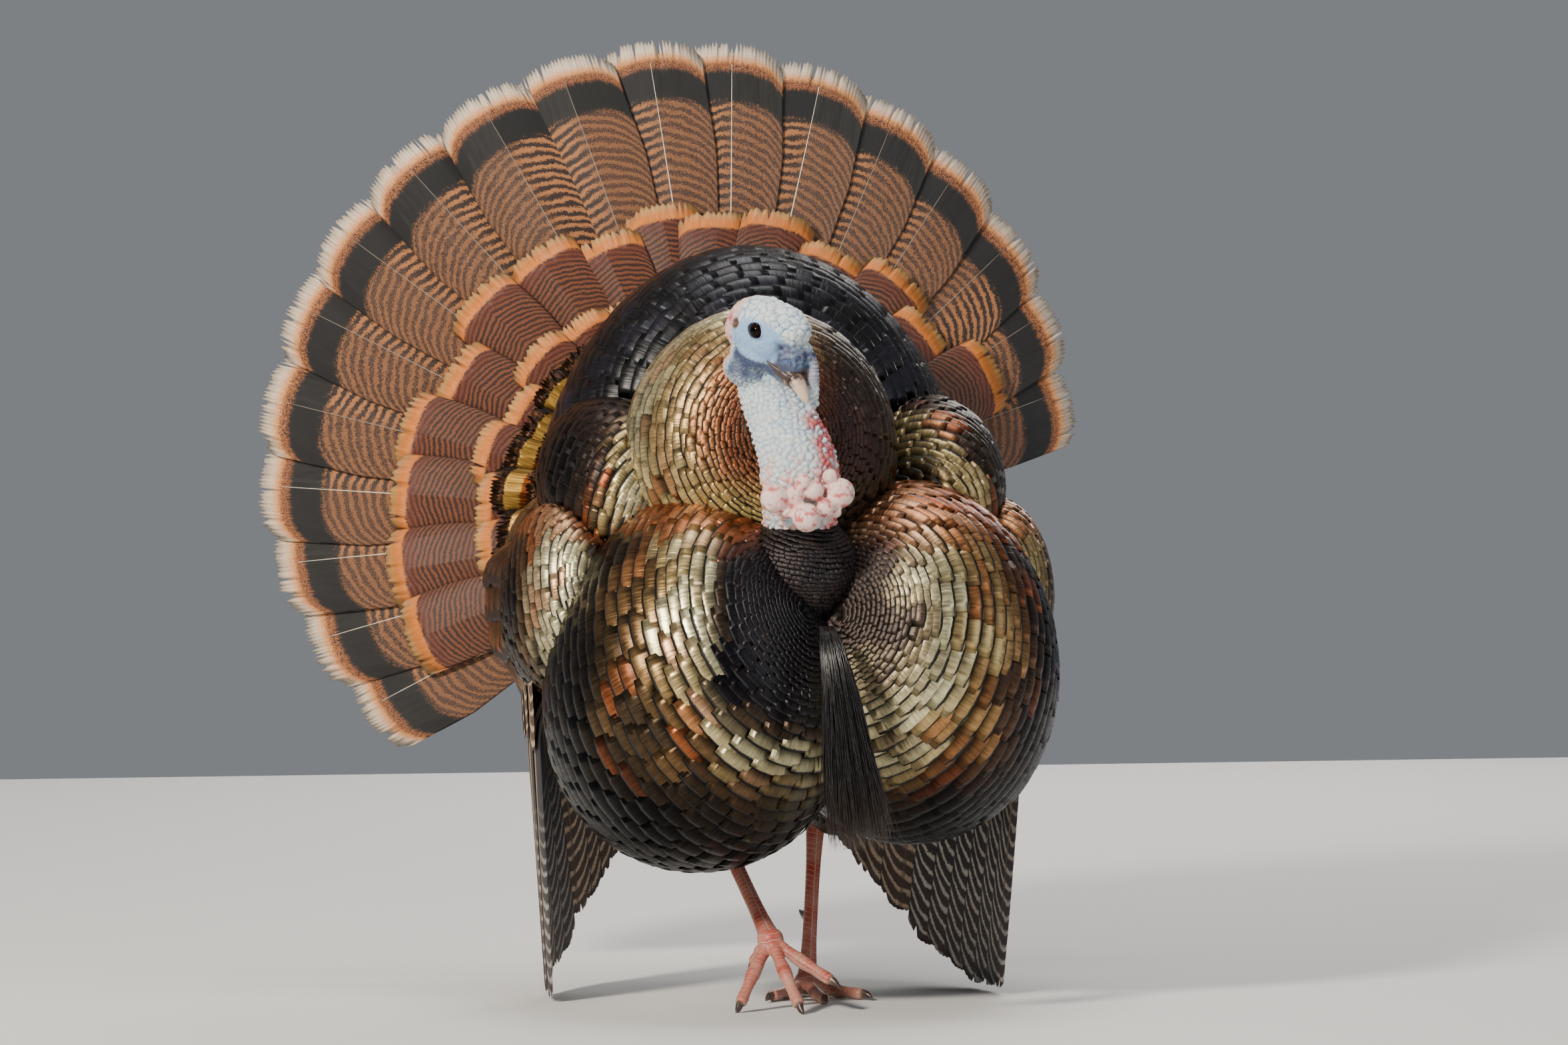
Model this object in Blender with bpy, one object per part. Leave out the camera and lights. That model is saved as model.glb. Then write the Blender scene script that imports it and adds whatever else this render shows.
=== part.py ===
"""Adult male wild turkey in full strut, life size, as a still model.

Metres, +Z up. The bird faces -Y and its left side is +X. It is modelled round its body's middle plane,
x = 0, on a floor at z = 0, and at the end all of it is moved so that the origin is on the floor under the
middle of its box. The plumage is given as closed masses that reach out to the feather tips: two breast
lobes, the neck ruff, the raised back, the wings and the fanned tail.
"""

import math

import bmesh
import bpy
from mathutils import Matrix, Vector

GAP = 0.0004  # clearance between neighbouring pieces
FLOOR = 0.0

# ---------------------------------------------------------------- sizes of the bird
# Body masses: centre, half sizes across, along and up, then how much they narrow upwards, and the
# angle by which their rear is raised.
TRUNK = (Vector((0.0, 0.040, 0.304)), Vector((0.168, 0.192, 0.138)), 0.0, math.radians(8.0))
BREAST_RIGHT = (Vector((-0.085, -0.088, 0.270)), Vector((0.127, 0.148, 0.158)), 0.13)
BREAST_LEFT = (Vector((0.096, -0.080, 0.284)), Vector((0.124, 0.146, 0.152)), 0.06)
BACK = (Vector((0.0, 0.094, 0.418)), Vector((0.184, 0.112, 0.210)), 0.08, math.radians(-6.0))
RUFF = (Vector((-0.025, -0.056, 0.460)), Vector((0.114, 0.106, 0.120)), 0.0, math.radians(-8.0))

# Wing masses of the left side; the right side mirrors them.
SHOULDER = (Vector((0.138, 0.022, 0.428)), Vector((0.060, 0.108, 0.074)), 0.0, math.radians(10.0))
WRIST = (Vector((0.186, -0.004, 0.334)), Vector((0.048, 0.090, 0.084)), 0.0, math.radians(-12.0))
FOREARM = (Vector((0.166, 0.080, 0.326)), Vector((0.053, 0.122, 0.094)), 0.0, math.radians(16.0))

# The hanging flight feathers follow an oval round the body, seen from above.
CURTAIN_HALF_WIDTH = 0.210
CURTAIN_HALF_DEPTH = 0.232
CURTAIN_THICKNESS = 0.004
CURTAIN_DRAW_IN = 0.020  # the tips lie this much nearer the body than the top
CURTAIN_SWEEP = math.radians(7.0)  # the feathers slant backwards by this much from top to floor
CURTAIN_SCALLOP = 0.012  # the notch between two neighbouring feather tips
PRIMARY_ARC = (math.radians(-8.0), math.radians(34.0))
PRIMARY_COUNT = 8
PRIMARY_TOP = 0.285
PRIMARY_RISE = 0.060  # how much higher the inner primaries end than the foremost ones
SECONDARY_ARC = (math.radians(35.0), math.radians(66.0))
SECONDARY_COUNT = 7
SECONDARY_TOP = 0.300
SECONDARY_LOW = 0.050  # height of the foremost secondary's tip
SECONDARY_RISE = 0.090
WING_TIP_FLAT = 0.0006  # how much of each wing tip the floor planes off

# Tail fan: a dished disc of quills round one centre, rolled to the bird's right and leaning back.
FAN_CENTRE = Vector((-0.005, 0.214, 0.392))
FAN_ROLL = math.radians(23.5)
FAN_LEAN = math.radians(4.0)
FAN_HALF_SPREAD = math.radians(94.5)
FAN_FEATHERS_A_SIDE = 9
FAN_RADIUS = 0.420
FAN_OUTER_RADIUS = 0.346
FAN_QUILL_START = 0.060
FAN_FEATHER_HALF_WIDTH = 0.046
FAN_TWIST = 0.0018  # each feather's outer edge lies this much forward, its inner edge this much back
FAN_SIDE_LAYER = 0.0018  # the left half of the fan lies this far behind the right half
FAN_FEATHER_THICKNESS = 0.0007
FAN_TIP_ROUNDING = 0.014  # how far the corners of a feather's blunt tip fall back
FAN_DISH = 0.20  # depth at the middle of the fan, as a share of the radius squared
FAN_SIDE_DISH = 0.30  # what the sides add to it
LONG_COVERT_RADIUS = 0.285
SHORT_COVERT_RADIUS = 0.215
UNDERTAIL_RADIUS = 0.215
LONG_COVERT_FRONT = 0.0095  # how far this row lies in front of the fan's middle surface
SHORT_COVERT_FRONT = 0.0125
COVERT_THICKNESS = 0.0050
UNDERTAIL_BEHIND = 0.0120
UNDERTAIL_THICKNESS = 0.0070
UNDERTAIL_START = 0.028
COVERT_START = 0.054
COVERT_HALF_SPREAD = math.radians(90.0)
COVERT_SCALLOP = 0.025  # depth of the notches in a covert row's rim, as a share of its radius
TAIL_ROOT = (Vector((-0.005, 0.206, 0.390)), Vector((0.045, 0.036, 0.045)))

# Head: its own frame faces -Y, turned to the bird's left and tipped down.
HEAD_CENTRE = Vector((-0.041, -0.165, 0.5594))
HEAD_TURN = math.radians(37.0)
HEAD_TIP = math.radians(18.0)
EYE_RADIUS = 0.0070
EYE_PLACE = Vector((0.0200, -0.0040, 0.0050))
# Each half of the bill in the head's middle plane: root and tip (forward is -y), half width, half height.
UPPER_BILL = ((-0.0170, -0.0160), (-0.0518, -0.0362), 0.0088, 0.0060)
LOWER_BILL = ((-0.0160, -0.0240), (-0.0455, -0.0372), 0.0074, 0.0036)

# Legs: the left foot stands flat and the right one is stepping, on its toe tips. Each leg is given by its
# hip end, its ankle and its foot joint.
LEFT_LEG = (Vector((0.076, 0.010, 0.232)), Vector((0.046, 0.056, 0.150)), Vector((0.028, 0.008, 0.0115)))
RIGHT_LEG = (Vector((-0.086, 0.035, 0.235)), Vector((-0.048, 0.022, 0.148)), Vector((-0.025, -0.094, 0.057)))
THIGH_HALF_SIZES = ((0.050, 0.056), (0.038, 0.042), (0.015, 0.017))  # at the hip, half way and the ankle
SHANK_HALF_WIDTH = 0.0068
SHANK_HALF_DEPTH = 0.0085
SHANK_START = 0.002  # the shank begins this far below the ankle
SHANK_END = 0.008  # and ends this far above the foot joint
SPUR_LENGTH = 0.022
SPUR_SHARE = 0.62  # how far down the shank the spur stands
TOE_RADIUS = 0.0066
PAD_RADIUS = 0.0125
CLAW_LENGTH = 0.0170
CLAW_DROP = 0.0028

# How finely the round shapes are divided: sides of limbs, then segments and rings of the masses.
ROUND_SIDES = 12
SHANK_SIDES = 10
BILL_SIDES = 8
SMALL_SIDES = 6
TRUNK_GRID = (12, 8)
BREAST_GRID = (16, 11)
BACK_GRID = (16, 9)
RUFF_GRID = (12, 8)
WING_GRID = (11, 7)
BALL_GRID = (9, 6)
BULB_GRID = (8, 5)
RECTRIX_GRID = (4, 3)
COVERT_GRID = (14, 2)


# ---------------------------------------------------------------- finishes
def finish(name, colour, roughness, metallic=0.0):
    made = bpy.data.materials.new(name)
    made.use_nodes = True
    shader = made.node_tree.nodes["Principled BSDF"]
    shader.inputs["Base Color"].default_value = (*colour, 1.0)
    shader.inputs["Roughness"].default_value = roughness
    shader.inputs["Metallic"].default_value = metallic
    return made


def clear_scene():
    for old in list(bpy.data.objects):
        bpy.data.objects.remove(old)


clear_scene()
BRONZE = finish("bronze plumage", (0.20, 0.13, 0.07), 0.35, 0.6)
BLACK = finish("black plumage", (0.02, 0.018, 0.018), 0.4, 0.2)
BARRED = finish("barred flight feathers", (0.22, 0.19, 0.16), 0.55)
TAIL = finish("barred tail feathers", (0.26, 0.14, 0.08), 0.55)
COVERT = finish("rufous tail coverts", (0.45, 0.20, 0.07), 0.5)
SKIN = finish("bare head skin", (0.66, 0.74, 0.80), 0.5)
WATTLE = finish("red wattles", (0.78, 0.42, 0.38), 0.4)
HORN = finish("horn", (0.30, 0.22, 0.16), 0.35)
SCUTES = finish("leg scutes", (0.50, 0.20, 0.17), 0.5)
EYE = finish("dark eye", (0.02, 0.012, 0.01), 0.05)
BRISTLE = finish("beard bristles", (0.02, 0.02, 0.022), 0.35)


# ---------------------------------------------------------------- making and cutting solids
def place(name, shape, look, smooth=True):
    """The bmesh as a named object with its finish."""
    bmesh.ops.recalc_face_normals(shape, faces=shape.faces)
    mesh = bpy.data.meshes.new(name)
    shape.to_mesh(mesh)
    shape.free()
    mesh.materials.append(look)
    if smooth:
        mesh.shade_smooth()
        mesh.set_sharp_from_angle(angle=math.radians(50.0))
    made = bpy.data.objects.new(name, mesh)
    bpy.context.scene.collection.objects.link(made)
    return made


def mass(body, segments, rings, grow=0.0):
    """A rounded mass: centre, half sizes, how much it narrows upwards and how far its rear is raised."""
    centre, half, narrowing, rise = (*body, 0.0, 0.0)[:4]
    shape = bmesh.new()
    bmesh.ops.create_uvsphere(shape, u_segments=segments, v_segments=rings, radius=1.0)
    size = half + Vector((grow, grow, grow))
    pitch = Matrix.Rotation(rise, 3, "X")
    for vert in shape.verts:
        across = 1.0 - narrowing * vert.co.z
        offset = Vector((vert.co.x * size.x * across, vert.co.y * size.y * across, vert.co.z * size.z))
        vert.co = centre + pitch @ offset
    return shape


def smooth_route(stations, steps):
    """Catmull-Rom values between the stations, which are equal-length tuples of numbers."""
    ends = [stations[0], *stations, stations[-1]]
    route = []
    for index in range(len(stations) - 1):
        before, start, end, after = ends[index : index + 4]
        for step in range(steps):
            t = step / steps
            route.append(
                tuple(
                    0.5
                    * (
                        2 * b
                        + (c - a) * t
                        + (2 * a - 5 * b + 4 * c - d) * t * t
                        + (3 * b - a - 3 * c + d) * t**3
                    )
                    for a, b, c, d in zip(before, start, end, after)
                )
            )
    return [*route, tuple(stations[-1])]


def limb(stations, sides, steps=2, across=Vector((1, 0, 0)), grow=0.0):
    """A closed tube through stations (x, y, z, half across, half along the other way)."""
    route = smooth_route(stations, steps)
    shape = bmesh.new()
    loops = []
    for index, (x, y, z, wide, deep) in enumerate(route):
        ahead = Vector(route[min(index + 1, len(route) - 1)][:3])
        behind = Vector(route[max(index - 1, 0)][:3])
        run = (ahead - behind).normalized()
        other = run.cross(across).normalized()
        side = other.cross(run).normalized()
        turn = Matrix((side, other, run)).transposed().to_4x4()
        centre = Vector((x, y, z))
        if index == 0:
            centre -= run * grow
        if index == len(route) - 1:
            centre += run * grow
        seat = Matrix.Translation(centre) @ turn @ Matrix.Diagonal((wide + grow, deep + grow, 1.0, 1.0))
        ring = bmesh.ops.create_circle(shape, segments=sides, radius=1.0, matrix=seat)["verts"]
        loops.append(list({edge for vert in ring for edge in vert.link_edges}))
    for first, second in zip(loops, loops[1:]):
        bmesh.ops.bridge_loops(shape, edges=first + second)
    bmesh.ops.holes_fill(shape, edges=[edge for edge in shape.edges if edge.is_boundary], sides=0)
    return shape


def sheet(columns, rows, point_at, thickness):
    """A closed sheet. point_at(across, along), both from 0 to 1, gives its front; it thickens backwards."""
    shape = bmesh.new()
    bmesh.ops.create_grid(shape, x_segments=columns, y_segments=rows, size=0.5)
    shape.verts.ensure_lookup_table()
    for vert in shape.verts:
        vert.co = point_at(vert.co.x + 0.5, vert.co.y + 0.5)
    bmesh.ops.recalc_face_normals(shape, faces=shape.faces)
    bmesh.ops.solidify(shape, geom=shape.faces, thickness=thickness)
    return shape


def joined(first, *others):
    """Boolean union of objects, kept under the first one's name."""
    for other in others:
        union = first.modifiers.new("join " + other.name, "BOOLEAN")
        union.operation = "UNION"
        union.object = other
        as_helper(other)
    return first


def as_helper(made):
    made.hide_render = True
    made.display_type = "WIRE"
    return made


CUTTERS = {}  # the grown copy of each piece that its neighbours are cut back from


def keep_clear(name, shape):
    cutter = place("clear_of_" + name, shape, BLACK, smooth=False)
    CUTTERS[name] = as_helper(cutter)


def carve(made, *neighbours):
    """Cuts the object back from the named pieces, leaving the gap."""
    for neighbour in neighbours:
        cut = made.modifiers.new("clear of " + neighbour, "BOOLEAN")
        cut.operation = "DIFFERENCE"
        cut.object = CUTTERS[neighbour]
    return made


def body_mass(name, body, look, grid, *neighbours):
    made = place(name, mass(body, *grid), look)
    keep_clear(name, mass(body, *grid, grow=GAP))
    return carve(made, *neighbours)


def mirrored(body):
    centre, *rest = body
    return (Vector((-centre.x, centre.y, centre.z)), *rest)


# ---------------------------------------------------------------- trunk, breast, back and ruff
def build_body():
    body_mass("trunk", TRUNK, BRONZE, TRUNK_GRID)
    body_mass("breast_right", BREAST_RIGHT, BRONZE, BREAST_GRID, "trunk")
    body_mass("breast_left", BREAST_LEFT, BRONZE, BREAST_GRID, "trunk", "breast_right")
    body_mass("back", BACK, BLACK, BACK_GRID, "trunk", "breast_right", "breast_left")


# ---------------------------------------------------------------- head, neck and what grows on them
def head_frame():
    turn = Matrix.Rotation(HEAD_TURN, 4, "Z") @ Matrix.Rotation(HEAD_TIP, 4, "X")
    return Matrix.Translation(HEAD_CENTRE) @ turn


def in_head(shape):
    bmesh.ops.transform(shape, matrix=head_frame(), verts=shape.verts)
    return shape


def head_stations(grow=0.0):
    """Rings from the back of the skull to the root of the bill."""
    rings = (
        (0.0400, 0.0020, 0.0070, 0.0090),
        (0.0335, 0.0020, 0.0170, 0.0205),
        (0.0180, 0.0030, 0.0235, 0.0285),
        (0.0000, 0.0035, 0.0250, 0.0305),
        (-0.0160, 0.0080, 0.0232, 0.0262),
        (-0.0290, 0.0095, 0.0185, 0.0215),
        (-0.0370, 0.0080, 0.0105, 0.0125),
    )
    return in_head(
        limb([(0.0, y, z, wide, tall) for y, z, wide, tall in rings], ROUND_SIDES, grow=grow)
    )


def bill_half(half, grow=0.0):
    """One half of the bill, from inside the face to its down-curved tip."""
    root, tip, wide, tall = half
    stations = []
    for share, width_share in ((0.0, 1.0), (0.35, 0.88), (0.7, 0.62), (0.92, 0.34), (1.0, 0.14)):
        ahead = root[0] + (tip[0] - root[0]) * share
        drop = root[1] + (tip[1] - root[1]) * share**1.25
        stations.append((0.0, ahead, drop, wide * width_share, tall * width_share))
    return in_head(limb(stations, BILL_SIDES, steps=1, grow=grow))


def ball(centre, radius, grid=BALL_GRID, grow=0.0):
    return mass((centre, Vector((radius, radius, radius))), *grid, grow)


def build_head():
    head = place("head", head_stations(), SKIN)
    keep_clear("head", head_stations(GAP))
    for side, sign in (("left", 1), ("right", -1)):
        centre = head_frame() @ Vector((EYE_PLACE.x * sign, EYE_PLACE.y, EYE_PLACE.z))
        place("eye_" + side, ball(centre, EYE_RADIUS), EYE)
        keep_clear("eye_" + side, ball(centre, EYE_RADIUS, grow=GAP))
        carve(head, "eye_" + side)
    carve(place("bill_upper", bill_half(UPPER_BILL), HORN), "head")
    keep_clear("bill_upper", bill_half(UPPER_BILL, GAP))
    carve(place("bill_lower", bill_half(LOWER_BILL), HORN), "head", "bill_upper")
    keep_clear("bill_lower", bill_half(LOWER_BILL, GAP))


def neck_stations():
    """Bare neck: from inside the head down the front, then in over the breast."""
    return (
        (-0.0370, -0.1480, 0.5480, 0.0200, 0.0200),
        (-0.0365, -0.1480, 0.5200, 0.0280, 0.0265),
        (-0.0310, -0.1600, 0.4930, 0.0280, 0.0270),
        (-0.0215, -0.1720, 0.4650, 0.0320, 0.0290),
        (-0.0155, -0.1720, 0.4350, 0.0330, 0.0290),
        (-0.0130, -0.1500, 0.4050, 0.0300, 0.0270),
        (-0.0130, -0.1150, 0.3850, 0.0260, 0.0240),
    )


# The big wattles at the foot of the neck: place and radius of each.
WATTLE_BULBS = (
    (Vector((-0.0450, -0.2060, 0.4265)), 0.0122),
    (Vector((-0.0205, -0.2160, 0.4110)), 0.0120),
    (Vector((0.0095, -0.2050, 0.4305)), 0.0124),
    (Vector((-0.0290, -0.2080, 0.4280)), 0.0100),
    (Vector((-0.0130, -0.2090, 0.4330)), 0.0100),
    (Vector((-0.0030, -0.2090, 0.4200)), 0.0095),
)


def snood_stations():
    """The fleshy snood: from the brow above the bill, over its left side and down past it."""
    local = (
        (0.0030, -0.0310, 0.0030, 0.0070, 0.0060),
        (0.0080, -0.0375, -0.0050, 0.0074, 0.0064),
        (0.0125, -0.0400, -0.0140, 0.0068, 0.0060),
        (0.0145, -0.0420, -0.0250, 0.0060, 0.0056),
        (0.0150, -0.0465, -0.0380, 0.0054, 0.0050),
        (0.0150, -0.0506, -0.0505, 0.0026, 0.0026),
    )
    return in_head(limb(local, SMALL_SIDES, across=Vector((0.3, 1.0, 0.0))))


def build_neck():
    place("neck", limb(neck_stations(), ROUND_SIDES, steps=1), SKIN)
    keep_clear("neck", limb(neck_stations(), ROUND_SIDES, steps=1, grow=2 * GAP))
    carve(bpy.data.objects["neck"], "head", "bill_upper", "bill_lower")
    carve(bpy.data.objects["neck"], "breast_right", "breast_left", "trunk", "back")
    bulbs = [
        place(f"wattle_bulb_{n}", ball(*bulb, grid=BULB_GRID), WATTLE)
        for n, bulb in enumerate(WATTLE_BULBS)
    ]
    wattles = joined(bulbs[0], *bulbs[1:])
    wattles.name = "wattles"
    carve(wattles, "neck", "breast_right", "breast_left")
    snood = place("snood", snood_stations(), WATTLE)
    carve(snood, "head", "bill_upper", "neck")
    masses = ("trunk", "breast_right", "breast_left", "back")
    body_mass("ruff", RUFF, BRONZE, RUFF_GRID, *masses, "neck", "head")


def build_beard():
    """The bristle beard: out of the cleft of the breast, hanging and spreading to its tip."""
    stations = (
        (-0.0060, -0.2240, 0.3230, 0.0060, 0.0050),
        (-0.0040, -0.2400, 0.3050, 0.0110, 0.0075),
        (0.0010, -0.2500, 0.2640, 0.0165, 0.0090),
        (0.0070, -0.2540, 0.2150, 0.0235, 0.0095),
        (0.0130, -0.2530, 0.1740, 0.0290, 0.0085),
        (0.0180, -0.2500, 0.1420, 0.0250, 0.0050),
    )
    beard = place("beard", limb(stations, 10, steps=1), BRISTLE)
    carve(beard, "breast_right", "breast_left")


# ---------------------------------------------------------------- tail
def fan_point(across, up, back):
    """A point of the fan: across to the bird's left and up its own middle line, then back from its dish."""
    radius_squared = across * across + up * up
    side_share = across * across / max(radius_squared, 1e-9)
    dish = radius_squared * (FAN_DISH + FAN_SIDE_DISH * side_share)
    roll = Matrix.Rotation(-FAN_ROLL, 4, "Y")
    lean = Matrix.Rotation(-FAN_LEAN, 4, "X")
    return FAN_CENTRE + lean @ roll @ Vector((across, dish + back, up))


def feather_angle(number, sign):
    """Angle of a tail quill from the fan's middle line, number 1 being next to it."""
    step = 2 * FAN_HALF_SPREAD / (2 * FAN_FEATHERS_A_SIDE - 1)
    return sign * step * (number - 0.5)


def feather_radius(angle):
    """The quills shorten towards the sides of the fan."""
    share = abs(angle) / FAN_HALF_SPREAD
    return FAN_RADIUS - (FAN_RADIUS - FAN_OUTER_RADIUS) * share**2.2


def vane_half_width(along):
    """Half width of a tail feather from its quill to its blunt round tip, as a share of the widest."""
    return 0.10 + 0.90 * min(1.0, along / 0.80) ** 0.85


def rectrix(number, sign):
    angle = feather_angle(number, sign)
    radius = feather_radius(angle)
    layer = FAN_SIDE_LAYER if sign > 0 else 0.0

    def point_at(across, along):
        side = (across - 0.5) * 2
        reach = along**0.7
        tip = radius - FAN_TIP_ROUNDING * side**4
        length = FAN_QUILL_START + (tip - FAN_QUILL_START) * reach
        half = FAN_FEATHER_HALF_WIDTH * vane_half_width(reach) * side
        sine, cosine = math.sin(angle), math.cos(angle)
        twist = -FAN_TWIST * side * sign
        return fan_point(length * sine + half * cosine, length * cosine - half * sine, layer + twist)

    return sheet(*RECTRIX_GRID, point_at, FAN_FEATHER_THICKNESS)


def covert_disc(radius, front, inner_radius, scallops, thickness):
    """A sector of overlapping coverts with a scalloped rim, lying this far in front of the fan."""

    def point_at(across, along):
        angle = (across - 0.5) * 2 * COVERT_HALF_SPREAD
        ripple = 1.0 - COVERT_SCALLOP * (1.0 - abs(math.cos(scallops * angle)))
        reach = inner_radius + (radius * ripple - inner_radius) * along
        return fan_point(reach * math.sin(angle), reach * math.cos(angle), -front)

    return sheet(*COVERT_GRID, point_at, thickness)


def build_tail():
    for number in range(1, FAN_FEATHERS_A_SIDE + 1):
        for side, sign in (("right", -1), ("left", 1)):
            place(f"tail_feather_{side}_{number}", rectrix(number, sign), TAIL)
    long_row = place(
        "uppertail_coverts",
        covert_disc(LONG_COVERT_RADIUS, LONG_COVERT_FRONT, COVERT_START, 7, -COVERT_THICKNESS),
        COVERT,
    )
    short_row = place(
        "uppertail_coverts_short",
        covert_disc(SHORT_COVERT_RADIUS, SHORT_COVERT_FRONT, COVERT_START, 6, -COVERT_THICKNESS),
        COVERT,
    )
    joined(long_row, short_row)
    under = place(
        "undertail_coverts",
        covert_disc(UNDERTAIL_RADIUS, -UNDERTAIL_BEHIND, UNDERTAIL_START, 6, -UNDERTAIL_THICKNESS),
        BARRED,
    )
    joined(under, place("tail_root", mass(TAIL_ROOT, 12, 8), BARRED))
    carve(under, "trunk", "back")


# ---------------------------------------------------------------- wings
def curtain_point(sign, turn, height, top):
    """A point on the hanging flight feathers: round the body by turn, at a height above the floor."""
    share = 1.0 - height / top
    draw = 1.0 - CURTAIN_DRAW_IN * share / CURTAIN_HALF_WIDTH
    swept = turn + CURTAIN_SWEEP * share
    across = sign * CURTAIN_HALF_WIDTH * draw * math.cos(swept)
    return Vector((across, CURTAIN_HALF_DEPTH * draw * math.sin(swept), height))


def hanging_feathers(sign, arc, count, top, lowest_at):
    """A curved row of flight feathers whose lower edge is scalloped, one scallop to a feather."""
    start, end = arc

    def point_at(across, along):
        turn = start + (end - start) * across
        ripple = abs(math.sin(count * math.pi * across))
        notch = 0.0 if across in (0.0, 1.0) else CURTAIN_SCALLOP * (1.0 - ripple)
        low = lowest_at(across) + notch
        height = low + (top - low) * along
        return curtain_point(sign, turn, height, top)

    return sheet(count * 2, 2, point_at, CURTAIN_THICKNESS)


def primary_low(across):
    """The foremost primaries trail on the floor and the inner ones hang a little above it."""
    return FLOOR - WING_TIP_FLAT + PRIMARY_RISE * max(0.0, across - 0.35) ** 1.3


def secondary_low(across):
    return SECONDARY_LOW + SECONDARY_RISE * across


def floor_cut(made):
    """Planes off what dips under the floor, which leaves the flats that the bird rests on."""
    cut = made.modifiers.new("floor", "BOOLEAN")
    cut.operation = "DIFFERENCE"
    cut.object = bpy.data.objects["floor_slab"]


def build_floor_slab():
    shape = bmesh.new()
    seat = Matrix.Translation((0, 0, FLOOR - 0.05)) @ Matrix.Diagonal((1.0, 1.0, 0.10, 1.0))
    bmesh.ops.create_cube(shape, size=1.0, matrix=seat)
    as_helper(place("floor_slab", shape, BLACK, smooth=False))


def build_wings():
    for side, sign in (("right", -1), ("left", 1)):
        sided = mirrored if sign < 0 else tuple
        names = ("trunk", "breast_right", "breast_left", "back")
        shoulder, wrist, forearm = (f"wing_{side}_{part}" for part in ("shoulder", "wrist", "forearm"))
        body_mass(shoulder, sided(SHOULDER), BRONZE, WING_GRID, *names)
        body_mass(wrist, sided(WRIST), BRONZE, WING_GRID, *names, shoulder)
        body_mass(forearm, sided(FOREARM), BRONZE, WING_GRID, *names, shoulder, wrist)
        carve(bpy.data.objects["ruff"], shoulder)
        rows = (
            ("primaries", PRIMARY_ARC, PRIMARY_COUNT, PRIMARY_TOP, primary_low),
            ("secondaries", SECONDARY_ARC, SECONDARY_COUNT, SECONDARY_TOP, secondary_low),
        )
        for part, arc, count, top, low in rows:
            row = place(f"wing_{side}_{part}", hanging_feathers(sign, arc, count, top, low), BARRED)
            carve(row, "trunk", "breast_right", "breast_left", "back", wrist, forearm)
            if part == "primaries":
                floor_cut(row)


# ---------------------------------------------------------------- legs and feet
# Toes as stations after the foot joint: place of the middle joint and of the last, before the claw.
LEFT_TOES = {
    "middle": (Vector((0.0270, -0.034, 0.0052)), Vector((0.0250, -0.072, 0.0045))),
    "inner": (Vector((0.0060, -0.016, 0.0052)), Vector((-0.0110, -0.038, 0.0045))),
    "outer": (Vector((0.0490, -0.014, 0.0052)), Vector((0.0640, -0.036, 0.0045))),
    "hind": (Vector((0.0250, 0.024, 0.0055)), Vector((0.0220, 0.036, 0.0045))),
}
RIGHT_TOES = {
    "middle": (Vector((-0.020, -0.126, 0.0330)), Vector((-0.0140, -0.152, 0.0085))),
    "inner": (Vector((-0.003, -0.115, 0.0400)), Vector((0.0150, -0.137, 0.0270))),
    "outer": (Vector((-0.043, -0.113, 0.0310)), Vector((-0.0570, -0.130, 0.0085))),
    "hind": (Vector((-0.029, -0.076, 0.0460)), Vector((-0.0320, -0.064, 0.0370))),
}


def toe(joint, middle, last):
    radius = TOE_RADIUS
    stations = (
        (*joint, radius * 1.10, radius * 0.90),
        (*middle, radius, radius * 0.92),
        (*last, radius * 0.80, radius * 0.78),
    )
    return limb(stations, SMALL_SIDES, steps=1, across=toe_side(middle, last))


def toe_side(middle, last):
    run = last - middle
    return Vector((-run.y, run.x, 0.0)).normalized()


def claw(middle, last):
    """A curved claw, from just past the toe's end down to its point."""
    run = (last - middle).normalized()
    start = last + run * (GAP + 0.0004)
    drop = Vector((0, 0, -1))
    stations = []
    for share, radius in ((0.0, 0.0040), (0.4, 0.0034), (0.8, 0.0018), (1.0, 0.0007)):
        point = start + run * (CLAW_LENGTH * share * (1 - 0.25 * share)) + drop * (CLAW_DROP * share * share)
        stations.append((*point, radius, radius))
    return limb(stations, SMALL_SIDES, steps=1, across=toe_side(middle, last))


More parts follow.
